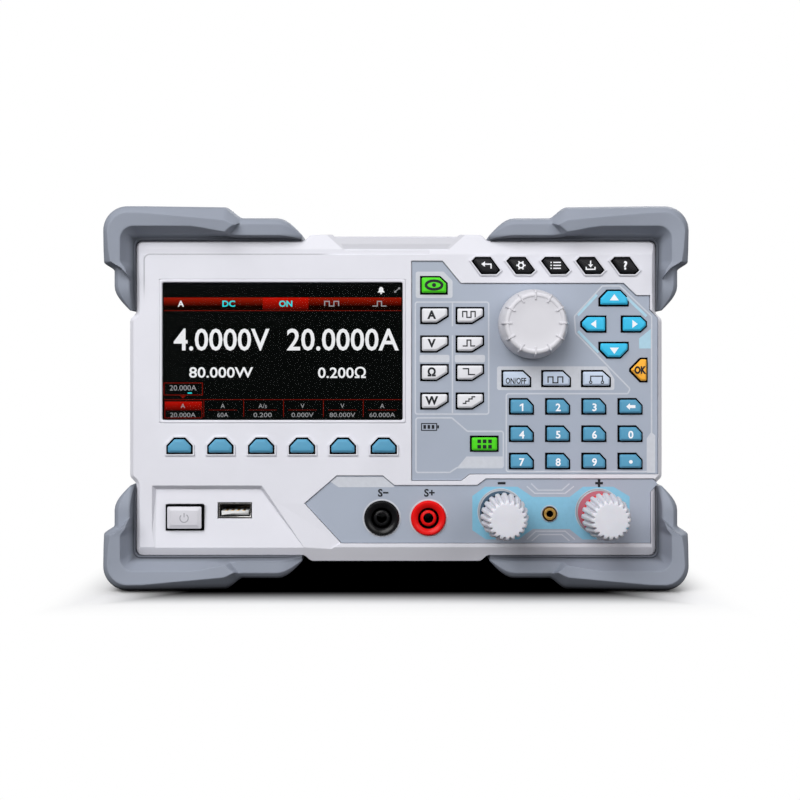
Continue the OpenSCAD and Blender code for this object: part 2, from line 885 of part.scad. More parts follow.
// Rear connectors stand on the main board: name, centre x, body width, body height
serial_x = main_board_x0 + 17;
lan_x = serial_x + 28;
usb_b_x = lan_x + 18.5;
io_x = usb_b_x + 21;
rear_z = main_board_z + board_t;
serial_body = [31, 12.5];
lan_body = [16, 13.5];
usb_b_body = [12, 10.8];
io_body = [24, 10];
inlet_x = 74;
inlet_z = z_mid + 12;
inlet_body = [27, 32];
inlet_flange = [31, 37];

function standing(x, size) = moved(cut_box(size), [x, rear_z + size.y / 2]);
function inlet_outline(size) = moved(cut_box(size), [inlet_x, inlet_z]);

module rear_openings(y0, y1) {
    plate(inset(standing(serial_x, serial_body), -fit), y0, y1);
    plate(inset(standing(lan_x, lan_body), -fit), y0, y1);
    plate(inset(standing(usb_b_x, usb_b_body), -fit), y0, y1);
    plate(inset(standing(io_x, io_body), -fit), y0, y1);
    plate(inset(inlet_outline(inlet_body), -fit), y0, y1);
}

// Screws around the rear panel
screw_r = 1.4;
screw_l = 4;
screw_in = 5;
rear_screws = [
    for (x = [-1, 0, 1])
        for (z = [-1, 1])
            [x * (inner_w / 2 - screw_in), z_mid + z * (inner_h / 2 - screw_in)]
];

standoff_r = 3;
main_standoffs = [
    for (x = [main_board_x0 + 4, main_board_x1 - 4])
        for (y = [main_board_y0 + 5, (main_board_y0 + main_board_y1) / 2, main_board_y1 - 30])
            [x, y]
];
bulkhead_y = bezel_d + fit;
module chassis() {
    window = [inner_w - 36, inner_h - 36];
    half_floor = inner_w / 2 - cover_r;
    color(steel)
        at_face() {
            block(-half_floor, half_floor, bulkhead_y, case_d - fit, floor_z, floor_top);
            difference() {
                plate(sheet_outline, rear_in, case_d);
                fan_grille();
                rear_openings(rear_in - over, case_d + over);
                for (p = rear_screws)
                    rod(p.x, p.y, screw_r + run_fit, rear_in - over, case_d + over);
            }
            difference() {
                plate(sheet_outline, bulkhead_y, bulkhead_y + chassis_t);
                plate(box_outline(window.x, window.y, 4), bulkhead_y - over, bulkhead_y + chassis_t + over);
            }
            for (p = main_standoffs)
                translate([p.x, p.y, floor_top])
                    cylinder(r = standoff_r, h = standoff_h);
        }
}

// Bumper: sections lofted along an L around one corner of the case.
// A section runs from the case outwards; the lip slopes in to the bezel and the outer edge is bevelled.
nose_l = 10;
pad_ramp_x = 7.4;
pad_ramp_z = 3.6;
lip_tip = 0.5;
lip_thin = 4.5;
lip_slope = 0.4;
lip_edge = 0.82;
edge_fall = 5;
rear_taper = 6;
rear_edge = 0.55;

// Fraction of the thin end's full thickness at distance s from the tip
function nose(s) = sin(90 * min(s / nose_l, 1));
function softened(a, p, b) = [p + (a - p) / 4, p + (a + b - 2 * p) / 16, p + (b - p) / 4];

function bumper_ring(inner, outer, reach) =
    let (
        start = [0, -lip_tip],
        crest = [lip_slope, -reach],
        rim = [lip_edge, -reach],
        side = [1, edge_fall - reach],
        tail = [1, bumper_d - rear_taper],
        section = [
            [0, bumper_d],
            start,
            each softened(start, crest, rim),
            each softened(crest, rim, side),
            each softened(rim, side, tail),
            tail,
            [rear_edge, bumper_d]
        ]
    )
    [for (p = section) let (q = inner + (outer - inner) * p.x) [q.x, p.y, q.y]];

// Stations in the first quadrant, from the tip on the side round to the tip on the top
function bumper_rings() =
    let (
        hx = cover_w / 2 + bumper_fit,
        hz = cover_h / 2 + bumper_fit,
        ox = overall_w / 2,
        oz = overall_h / 2,
        thin_x = ox - hx - pad_drop,
        thin_z = oz - hz - pad_drop,
        tip = seat - bumper_fit,
        steps = [0, 0.12, 0.3, 0.6, 1] * nose_l,
        side_pad = oz - pad_z,
        top_pad = ox - pad_x,
        r = cover_r + bumper_fit,
        side_run = [
            for (s = steps)
                [
                    [hx, bumper_tip_z + s],
                    [hx + tip + (thin_x - tip) * nose(s), bumper_tip_z + s],
                    lip_tip + 0.2 + lip_thin * nose(s)
                ],
            [[hx, side_pad], [ox - pad_drop, side_pad], lip_thin + lip_tip + 0.2],
            [[hx, side_pad + pad_ramp_z], [ox, side_pad + pad_ramp_z], lip]
        ],
        corner_run = [
            for (a = [0:15:90])
                [
                    [hx - r, hz - r] + r * [cos(a), sin(a)],
                    [ox - bumper_r, oz - bumper_r] + bumper_r * [cos(a), sin(a)],
                    lip
                ]
        ],
        top_run = [
            [[top_pad, hz], [top_pad, oz], lip],
            [[top_pad - pad_ramp_x, hz], [top_pad - pad_ramp_x, oz - pad_drop], lip_thin + lip_tip + 0.2],
            for (s = reversed(steps))
                [
                    [bumper_tip_x + s, hz],
                    [bumper_tip_x + s, hz + tip + (thin_z - tip) * nose(s)],
                    lip_tip + 0.2 + lip_thin * nose(s)
                ]
        ]
    )
    [for (s = concat(side_run, corner_run, top_run)) bumper_ring(s[0], s[1], s[2])];

module corner_bumpers() {
    color(rubber)
        at_face()
            for (rear = [0, 1])
                translate([0, rear * case_d, 0])
                    mirror([0, rear, 0])
                        for (side = [0, 1])
                            for (low = [0, 1])
                                translate([0, 0, z_mid])
                                    mirror([side, 0, 0])
                                        mirror([0, 0, low])
                                            skin(bumper_rings());
}

// Terminals: a collar with a base ring on the panel and a neck through it, and a shrouded sense socket
base_ring_h = 1.6;
collar_h = 16;
collar_r = post_knob_r - 0.8;
neck_h = 9;
module post_collar(x) {
    bore = stud_r + run_fit;
    face = -panel_sink;
    turned(x, post_z, [
        [bore, -neck_h],
        [post_neck_r, -neck_h],
        [post_neck_r, face],
        [post_base_r, face],
        [post_base_r, face + base_ring_h - 0.5],
        [post_base_r - 0.5, face + base_ring_h],
        [collar_r, face + base_ring_h],
        [collar_r, collar_h],
        [bore, collar_h]
    ]);
}

sense_ring_h = 1.4;
sense_depth = 18;
module sense_socket(x) {
    face = -panel_sink;
    top = face + sense_ring_h;
    turned(x, sense_z, [
        [sense_bore_r, -sense_depth],
        [sense_neck_r, -sense_depth],
        [sense_neck_r, face],
        [sense_r, face],
        [sense_r, top - 0.6],
        [sense_r - 0.6, top],
        [4.3, top],
        [4.3, -12],
        [3.3, -12],
        [3.3, top - 0.8],
        [sense_bore_r, top - 0.8]
    ]);
}

module negative_terminals() {
    color(black_key)
        at_face() {
            post_collar(minus_x);
            sense_socket(sense_minus_x);
        }
}

module positive_terminals() {
    color([0.8, 0.1, 0.1])
        at_face() {
            post_collar(plus_x);
            sense_socket(sense_plus_x);
        }
}

// Fluted knob on a post: a star-shaped crown that tapers to a plain face
crown_h = collar_h + 0.5;
module post_knob(x) {
    widest = crown_h + 4.5;
    function star(r, depth) = [
        for (i = [0:4 * post_flutes - 1])
            let (a = 90 * i / post_flutes, q = r - depth * [1, 0.25, 0, 0.25][i % 4])
            q * [cos(a), sin(a)]
    ];
    function level(r, depth, h) = [for (p = star(r, depth)) [x + p.x, -h, post_z + p.y]];
    difference() {
        skin([
            level(collar_r, 0, crown_h),
            level(post_knob_r, 0.9, crown_h + 1.2),
            level(post_knob_r, 0.9, widest),
            level(post_face_r + 0.8, 0.45, post_reach - 1),
            level(post_face_r, 0, post_reach)
        ]);
        rod(x, post_z, stud_r + run_fit, -post_reach + 3, 0);
    }
}

module minus_post_knob() {
    color(white_key)
        at_face()
            post_knob(minus_x);
}

module plus_post_knob() {
    color(white_key)
        at_face()
            post_knob(plus_x);
}

// Metal hardware: studs with their nuts, sense socket nuts, the small jack and the outer screws
nut_t = 5;
stud_tail = 10;
module hex_nut(x, z, across_corners, bore, y0, y1) {
    difference() {
        translate([x, y1, z])
            rotate([90, 0, 0])
                cylinder(d = across_corners, h = y1 - y0, $fn = 6);
        rod(x, z, bore, y0 - over, y1 + over);
    }
}

module pan_screw(p) {
    head_r = 2 * screw_r;
    head_h = 1.8;
    translate([p.x, case_d, p.y])
        rotate([-90, 0, 0])
            rotate_extrude()
                polygon([
                    [0, -screw_l],
                    [screw_r, -screw_l],
                    [screw_r, 0],
                    [head_r, 0],
                    [head_r, head_h * 0.5],
                    [head_r * 0.7, head_h],
                    [0, head_h]
                ]);
}

module studs_and_screws() {
    color([0.8, 0.74, 0.55])
        at_face() {
            for (x = [minus_x, plus_x]) {
                rod(x, post_z, stud_r, -post_reach + 4, neck_h + nut_t + stud_tail);
                hex_nut(x, post_z, 4.4 * stud_r, stud_r - run_fit, neck_h, neck_h + nut_t);
            }
            for (x = [sense_minus_x, sense_plus_x])
                hex_nut(x, sense_z, 2.7 * sense_neck_r, sense_neck_r + run_fit, face_t, face_t + 3);
            turned(jack_x, jack_z, [
                [jack_bore_r, -14],
                [jack_r, -14],
                [jack_r, -panel_sink],
                [jack_r + 0.6, -panel_sink],
                [jack_r + 0.6, 0.2],
                [jack_r, 0.8],
                [jack_bore_r, 0.8]
            ]);
            for (p = rear_screws)
                pan_screw(p);
        }
}

// Boards: the key board with a switch behind every key, the power and USB board, the main board
switch_w = 6;
module tact_switch(p) {
    plate(moved(cut_box([switch_w, switch_w]), p), board_y - 3.5, board_y);
    rod(p.x, p.y, 1.6, board_y - switch_h, board_y);
}

encoder_body = 12;
module key_board() {
    difference() {
        union() {
            block(-board_x, board_x, board_y, board_y + board_t, board_z0, board_z1);
            for (k = keys)
                if (k[0] != "power_button")
                    tact_switch(k[1]);
            block(
                knob_x - encoder_body / 2, knob_x + encoder_body / 2,
                board_y - 6.5, board_y,
                arrow_z - encoder_body / 2, arrow_z + encoder_body / 2
            );
            rod(knob_x, arrow_z, bushing_r, -0.5, board_y - 6);
        }
        rod(knob_x, arrow_z, shaft_r + run_fit, -over, board_y - 1);
        for (p = key_bosses)
            rod(p.x, p.y, boss_pilot_r + fit, board_y - over, board_y + board_t + over);
    }
}

module power_usb_board() {
    difference() {
        union() {
            block(usb_board[0], usb_board[1], board_y, board_y + board_t, usb_board[2], usb_board[3]);
            tact_switch([power_x, power_z]);
        }
        for (p = usb_bosses)
            rod(p.x, p.y, boss_pilot_r + fit, board_y - over, board_y + board_t + over);
    }
}

module main_board() {
    top = main_board_z + board_t;
    block(main_board_x0, main_board_x1, main_board_y0, main_board_y1, main_board_z, top);
    block(main_board_x0 + 20, main_board_x0 + 82, main_board_y0 + 12, main_board_y0 + 64, top, top + 50);
    for (i = [0:3])
        translate([main_board_x0 + 18 + 22 * i, main_board_y0 + 95, top])
            cylinder(r = 9, h = 34);
    for (i = [0:2])
        block(
            main_board_x0 + 12 + 30 * i, main_board_x0 + 32 + 30 * i,
            main_board_y0 + 140, main_board_y0 + 160, top, top + 3
        );
}

// Transistors in a row press against the heat sink and carry the power board
transistor_t = 5;
module power_board() {
    x = sink_x + transistor_t;
    block(x, x + board_t, sink_y0 + 10, sink_y0 + sink_l - 10, floor_top + 12, floor_top + sink_h);
    for (i = [0:5])
        block(
            sink_x, x,
            sink_y0 + 20 + i * (sink_l - 56) / 5, sink_y0 + 36 + i * (sink_l - 56) / 5,
            floor_top + 30, floor_top + 51
        );
}

module circuit_boards() {
    color(board_green)
        at_face() {
            key_board();
            power_usb_board();
            main_board();
            power_board();
        }
}

// Heat sink: an extruded comb standing on the floor of the chassis
fin_t = 2.2;
module heat_sink() {
    pitch = (sink_h - fin_t) / (fins - 1);
    color([0.7, 0.71, 0.73])
        at_face()
            translate([sink_x, sink_y0 + sink_l, floor_top])
                rotate([90, 0, 0])
                    linear_extrude(sink_l) {
                        translate([-sink_base_t, 0])
                            square([sink_base_t, sink_h]);
                        for (i = [0:fins - 1])
                            translate([-sink_base_t - fin_l, i * pitch])
                                square([fin_l + fin_t, fin_t]);
                    }
}

fan_back = 3;
module fan_frame() {
    hole_in = 4.25;
    color([0.1, 0.1, 0.11])
        at_face()
            translate([fan_x, rear_in, fan_z])
                rotate([90, 0, 0]) {
                    linear_extrude(fan_d)
                        difference() {
                            square(fan_w, center = true);
                            circle(r = fan_duct_r);
                            for (turn = [0:90:270])
                                rotate(turn)
                                    translate([fan_w / 2 - hole_in, fan_w / 2 - hole_in])
                                        circle(r = 2.1);
                        }
                    linear_extrude(fan_back) {
                        circle(r = fan_hub_r);
                        for (turn = [0, 90])
                            rotate(turn)
                                square([2 * fan_duct_r + 0.5, 4], center = true);
                    }
                    cylinder(r = fan_pin_r, h = fan_d - 5);
                }
}

// One blade: a thin cambered section, pitched and drawn outwards from inside the hub
blade_chord = 20;
blade_t = 1.5;
blade_camber = 2.2;
blade_pitch = 42;
module fan_blade(root, tip) {
    stations = [-0.5:0.125:0.5];
    function skin_point(s, side) = [s * blade_chord, blade_camber * (1 - 4 * s * s) + side * blade_t / 2];
    lower = [for (s = stations) skin_point(s, -1)];
    upper = [for (s = stations) skin_point(s, 1)];
    translate([root, 0, 0])
        rotate([90, 0, 90])
            linear_extrude(tip - root)
                rotate(blade_pitch)
                    polygon(concat(lower, reversed(upper)));
}

module fan_rotor() {
    gap = 1;
    tip_r = sqrt((fan_duct_r - 1.2) ^ 2 - (blade_chord / 2) ^ 2);
    hub_h = fan_d - fan_back - gap - 1;
    bore_h = hub_h - 2;
    color([0.13, 0.13, 0.14])
        at_face()
            translate([fan_x, rear_in - fan_back - gap, fan_z])
                rotate([90, 0, 0]) {
                    rotate_extrude()
                        polygon([
                            [fan_pin_r + run_fit, 0],
                            [fan_hub_r, 0],
                            [fan_hub_r, hub_h - 2],
                            [fan_hub_r - 2, hub_h],
                            [0, hub_h],
                            [0, bore_h],
                            [fan_pin_r + run_fit, bore_h]
                        ]);
                    for (i = [0:fan_blades - 1])
                        rotate(i * 360 / fan_blades)
                            translate([0, 0, hub_h / 2])
                                fan_blade(0.8 * fan_hub_r, tip_r);
                }
}

// Connectors
module usb_a() {
    shell = [13.3, 5.9];
    wall = 0.45;
    y0 = 1.9;
    outline = moved(cut_box(shell), [usb_x, usb_z]);
    difference() {
        plate(outline, y0, board_y);
        plate(inset(outline, wall), y0 - over, board_y - 2);
    }
    block(usb_x - 5.5, usb_x + 5.5, y0 + 0.5, board_y - 1.5, usb_z - 2, usb_z - 0.2);
}

out = 0.8;
module serial_port() {
    outline = standing(serial_x, serial_body);
    half_w = 8.5;
    half_h = 4.2;
    lean = 1.4;
    d_shape = [[lean - half_w, -half_h], [half_w - lean, -half_h], [half_w, half_h], [-half_w, half_h]];
    mouth = rounded(moved(d_shape, [serial_x, rear_z + serial_body.y / 2]), 1.5);
    difference() {
        union() {
            plate(outline, rear_in - 12, case_d + out);
            plate(mouth, case_d, case_d + out + 5);
        }
        plate(inset(mouth, 0.5), case_d + out - 0.2, case_d + out + 5 + over);
    }
}

module lan_port() {
    outline = standing(lan_x, lan_body);
    mouth = [11.8, 7.4];
    middle = [lan_x, rear_z + 6.4];
    difference() {
        plate(outline, rear_in - 15, case_d + out);
        plate(moved(cut_box(mouth), middle), rear_in - 11, case_d + out + over);
        plate(moved(cut_box([4.6, 3]), middle - [0, mouth.y / 2 + 1]), rear_in - 11, case_d + out + over);
    }
}

module usb_b_port() {
    outline = standing(usb_b_x, usb_b_body);
    square_d = cut_box([8.6, 7.8], tr = [1.6, 1.6], tl = [1.6, 1.6]);
    mouth = moved(square_d, [usb_b_x, rear_z + usb_b_body.y / 2]);
    difference() {
        plate(outline, rear_in - 14, case_d + out);
        difference() {
            plate(mouth, rear_in - 8, case_d + out + over);
            plate(moved(cut_box([5.6, 3.2]), [usb_b_x, rear_z + usb_b_body.y / 2]), rear_in - 9, case_d);
        }
    }
}

io_ways = 6;
module io_port() {
    outline = standing(io_x, io_body);
    pitch = 3.5;
    difference() {
        plate(outline, rear_in - 10, case_d + out);
        for (i = [0:io_ways - 1])
            plate(
                moved(cut_box([2.6, 5]), [io_x + (i - (io_ways - 1) / 2) * pitch, rear_z + io_body.y / 2]),
                rear_in - 6, case_d + out + over
            );
    }
}

inlet_mouth = [24.4, 16.4];
inlet_mouth_z = inlet_z + 5.5;
inlet_depth = 16;
flange_h = 2.5;
module mains_inlet() {
    top = case_d + flange_h;
    mouth = moved(cut_box(inlet_mouth, tr = [5, 4.5], tl = [5, 4.5]), [inlet_x, inlet_mouth_z]);
    difference() {
        union() {
            plate(inlet_outline(inlet_body), rear_in - 18, case_d + over);
            plate(rounded(inlet_outline(inlet_flange), 2), case_d, top);
        }
        plate(mouth, top - inlet_depth, top + over);
    }
    for (pin = [[-7, -2.4], [7, -2.4], [0, 2.8]])
        block(
            inlet_x + pin.x - 1, inlet_x + pin.x + 1,
            top - inlet_depth - over, top - 2,
            inlet_mouth_z + pin.y - 2, inlet_mouth_z + pin.y + 2
        );
    plate(moved(cut_box([22, 7.5]), [inlet_x, inlet_z - 10.5]), top - over, top + 0.8);
}

module connectors() {
    color([0.5, 0.5, 0.52])
        at_face() {
            usb_a();
            serial_port();
            lan_port();
            usb_b_port();
            io_port();
            mains_inlet();
        }
}

// Encoder knob with its shaft: a tapered body, a dished face and small ridges on the shoulder
knob_ridges = 12;
ridge_w = 0.8;
knob_dish = 1.2;
module encoder_knob() {
    base = -panel_sink + 0.6;
    top = base + knob_h;
    shoulder = base + 0.45 * knob_h;
    color(bezel_colour)
        at_face() {
            turned(knob_x, arrow_z, [
                [0, 2 - board_y],
                [shaft_r, 2 - board_y],
                [shaft_r, base + 4],
                [bushing_r + 1, base + 4],
                [bushing_r + 1, base],
                [knob_r, base],
                [knob_r - 0.4, shoulder],
                [knob_face_r + 0.9, top - 0.4],
                [knob_face_r, top],
                [knob_face_r - 1, top - 0.2],
                [0, top - knob_dish]
            ]);
            for (i = [0:knob_ridges - 1])
                translate([knob_x, 0, arrow_z])
                    rotate([0, i * 360 / knob_ridges, 0])
                        ridge(-ridge_w / 2, ridge_w / 2, [
                            [-shoulder + 1, knob_r - 1],
                            [-shoulder, knob_r - 0.2],
                            [0.6 - top, knob_face_r + 1.1],
                            [0.6 - top, knob_face_r]
                        ]);
        }
}

front_bezel();
fascia_panels();
display_window();
lcd_module();
cover();
chassis();
corner_bumpers();
negative_terminals();
positive_terminals();
studs_and_screws();
circuit_boards();
heat_sink();
fan_frame();
connectors();
encoder_knob();
minus_post_knob();
plus_post_knob();
fan_rotor();
for (k = keys)
    key(k);
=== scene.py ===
"""Dresses the bench DC electronic load: keys, prints, knobs, bumpers, lit screen and finishes."""

from __future__ import annotations

import json
import logging
import math
from dataclasses import dataclass, field
from enum import Enum, IntEnum
from functools import partial
from typing import Callable, Iterable, Sequence

import bmesh
import bpy
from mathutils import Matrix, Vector
from mathutils.geometry import tessellate_polygon

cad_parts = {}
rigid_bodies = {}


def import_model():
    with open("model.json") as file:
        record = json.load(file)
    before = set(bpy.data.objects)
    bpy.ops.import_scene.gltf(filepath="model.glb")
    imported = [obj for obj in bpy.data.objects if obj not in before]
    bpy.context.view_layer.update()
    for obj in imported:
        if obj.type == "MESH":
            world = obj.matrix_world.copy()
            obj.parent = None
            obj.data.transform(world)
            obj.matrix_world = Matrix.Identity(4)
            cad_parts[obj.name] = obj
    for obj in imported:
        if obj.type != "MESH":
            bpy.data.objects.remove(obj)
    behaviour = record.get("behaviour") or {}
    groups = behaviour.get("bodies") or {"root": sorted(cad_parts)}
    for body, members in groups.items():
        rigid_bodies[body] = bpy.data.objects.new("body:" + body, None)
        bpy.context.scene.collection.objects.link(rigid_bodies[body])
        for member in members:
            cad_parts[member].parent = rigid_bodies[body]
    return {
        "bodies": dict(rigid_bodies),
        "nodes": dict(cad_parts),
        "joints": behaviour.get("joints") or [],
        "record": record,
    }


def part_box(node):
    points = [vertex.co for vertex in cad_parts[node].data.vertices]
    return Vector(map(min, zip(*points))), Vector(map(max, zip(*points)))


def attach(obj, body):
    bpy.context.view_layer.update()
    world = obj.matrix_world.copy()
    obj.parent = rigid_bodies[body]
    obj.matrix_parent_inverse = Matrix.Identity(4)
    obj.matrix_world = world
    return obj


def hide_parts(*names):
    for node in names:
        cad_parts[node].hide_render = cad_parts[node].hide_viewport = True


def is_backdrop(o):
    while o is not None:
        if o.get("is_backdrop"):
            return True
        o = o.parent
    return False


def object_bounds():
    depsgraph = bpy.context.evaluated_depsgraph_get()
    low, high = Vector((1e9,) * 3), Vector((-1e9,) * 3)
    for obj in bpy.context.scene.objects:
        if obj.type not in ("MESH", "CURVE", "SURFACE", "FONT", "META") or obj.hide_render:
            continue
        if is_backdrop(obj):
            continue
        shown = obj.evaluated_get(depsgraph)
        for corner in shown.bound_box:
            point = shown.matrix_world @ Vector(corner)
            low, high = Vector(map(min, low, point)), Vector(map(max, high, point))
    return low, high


LOG = logging.getLogger("electronic_load")
MM = 0.001
CASE = "case"

Point2 = tuple[float, float]
Point3 = tuple[float, float, float]
Colour = tuple[int, int, int]
Outline = list[Point2]
Path = Sequence[Point2]
Ring = list[Point3]
Mesh = tuple[list[Point3], list[tuple[int, ...]]]
Node = bpy.types.Node
Socket = bpy.types.NodeSocket
Piece = bpy.types.Object

# Places in millimetres: the bezel's face along y, and axes of fittings in x and z
FACE_Y = -188.0
SENSE_MINUS = (-5.805, 29.4)
SENSE_PLUS = (13.295, 29.4)
MINUS_POST = (42.895, 32.0)
PLUS_POST = (82.895, 32.0)
JACK = (62.895, 31.2)

# Half of the case's width and height inside the rubber, in millimetres
HALF_W = 106.545
HALF_H = 64.54


# Outlines: lists of (x, z) points in millimetres, counter-clockwise seen from the front


def unit(x: float, z: float) -> Point2:
    """Returns the vector at length one."""
    size = math.hypot(x, z)
    return x / size, z / size


def inset(points: Path, depth: float) -> Outline:
    """Moves every edge of an outline inwards.

    Args:
        points: corners of the outline.
        depth: distance in millimetres, negative to grow.

    Returns:
        The moved corners, as many as before.
    """
    corners = []
    for i, (px, pz) in enumerate(points):
        ax, az = points[i - 1]
        bx, bz = points[(i + 1) % len(points)]
        ux, uz = unit(px - ax, pz - az)
        vx, vz = unit(bx - px, bz - pz)
        n1, n2 = (-uz, ux), (-vz, vx)
        scale = depth / (1 + n1[0] * n2[0] + n1[1] * n2[1])
        corners.append((px + (n1[0] + n2[0]) * scale, pz + (n1[1] + n2[1]) * scale))
    return corners


def rounded(points: Path, radius: float, pieces: int = 4) -> Outline:
    """Rounds every corner of an outline.

    Args:
        points: corners of the outline.
        radius: corner radius in millimetres.
        pieces: pieces that each arc is cut into.

    Returns:
        Points along the rounded outline.
    """
    path = []
    for i, (px, pz) in enumerate(points):
        ax, az = points[i - 1]
        bx, bz = points[(i + 1) % len(points)]
        u, v = unit(ax - px, az - pz), unit(bx - px, bz - pz)
        half = math.acos(max(-1.0, min(1.0, u[0] * v[0] + u[1] * v[1]))) / 2
        reach = radius / math.tan(half)
        w = unit(u[0] + v[0], u[1] + v[1])
        cx, cz = px + w[0] * radius / math.sin(half), pz + w[1] * radius / math.sin(half)
        start = math.atan2(pz + u[1] * reach - cz, px + u[0] * reach - cx)
        end = math.atan2(pz + v[1] * reach - cz, px + v[0] * reach - cx)
        sweep = (end - start + 3 * math.pi) % (2 * math.pi) - math.pi
        for k in range(pieces + 1):
            a = start + sweep * k / pieces
            path.append((cx + radius * math.cos(a), cz + radius * math.sin(a)))
    return path


def cut_box(
    size: Point2, bl: Point2 = (0, 0), br: Point2 = (0, 0), tr: Point2 = (0, 0), tl: Point2 = (0, 0)
) -> Outline:
    """A rectangle about the origin with some corners cut off.

    Args:
        size: width and height.
        bl: cut of the bottom left corner along x and z, and so on for the others.
        br: cut of the bottom right corner.
        tr: cut of the top right corner.
        tl: cut of the top left corner.

    Returns:
        The corners, counter-clockwise from the bottom left.
    """
    w, h = size[0] / 2, size[1] / 2
    corners: Outline = []
    for x, z, cut, turn in ((-w, -h, bl, 1), (w, -h, br, 0), (w, h, tr, 1), (-w, h, tl, 0)):
        if not any(cut):
            corners.append((x, z))
            continue
        on_side = (x, z - math.copysign(cut[1], z))
        on_end = (x - math.copysign(cut[0], x), z)
        corners.extend((on_side, on_end) if turn else (on_end, on_side))
    return corners


def moved(points: Iterable[Point2], place: Point2) -> Outline:
    """Returns an outline shifted to its place."""
    return [(x + place[0], z + place[1]) for x, z in points]


def disc(place: Point2, radius: float, sides: int = 32) -> Outline:
    """Returns a round outline."""
    step = 2 * math.pi / sides
    return [
        (place[0] + radius * math.cos(i * step), place[1] + radius * math.sin(i * step))
        for i in range(sides)
    ]


def box(x0: float, x1: float, z0: float, z1: float) -> Outline:
    """Returns a rectangle between two x and two z."""
    return [(x0, z0), (x1, z0), (x1, z1), (x0, z1)]


def steps(start: float, end: float, count: int) -> list[float]:
    """Returns values from start up to end, without end itself."""
    return [start + (end - start) * i / count for i in range(count)]


def ring_at(points: Iterable[Point2], y: float) -> Ring:
    """Returns an outline at a depth behind the face of the bezel."""
    return [(x, y, z) for x, z in points]


def middle_of(low: Vector, high: Vector) -> Point2:
    """Returns x and z of the middle of a box, in millimetres."""
    return (low.x + high.x) / 2 / MM, (low.z + high.z) / 2 / MM


def depths_of(low: Vector, high: Vector) -> Point2:
    """Returns the depths of a box's front and back behind the face of the bezel."""
    return low.y / MM - FACE_Y, high.y / MM - FACE_Y


# Finishes


def linear(colour: Colour) -> tuple[float, float, float, float]:
    """Turns a colour in display values into the one that shaders take.

    Args:
        colour: red, green and blue up to 255.

    Returns:
        The linear colour.
    """
    parts = [c / 255 for c in colour]
    flat = [c / 12.92 if c <= 0.04045 else ((c + 0.055) / 1.055) ** 2.4 for c in parts]
    return flat[0], flat[1], flat[2], 1.0


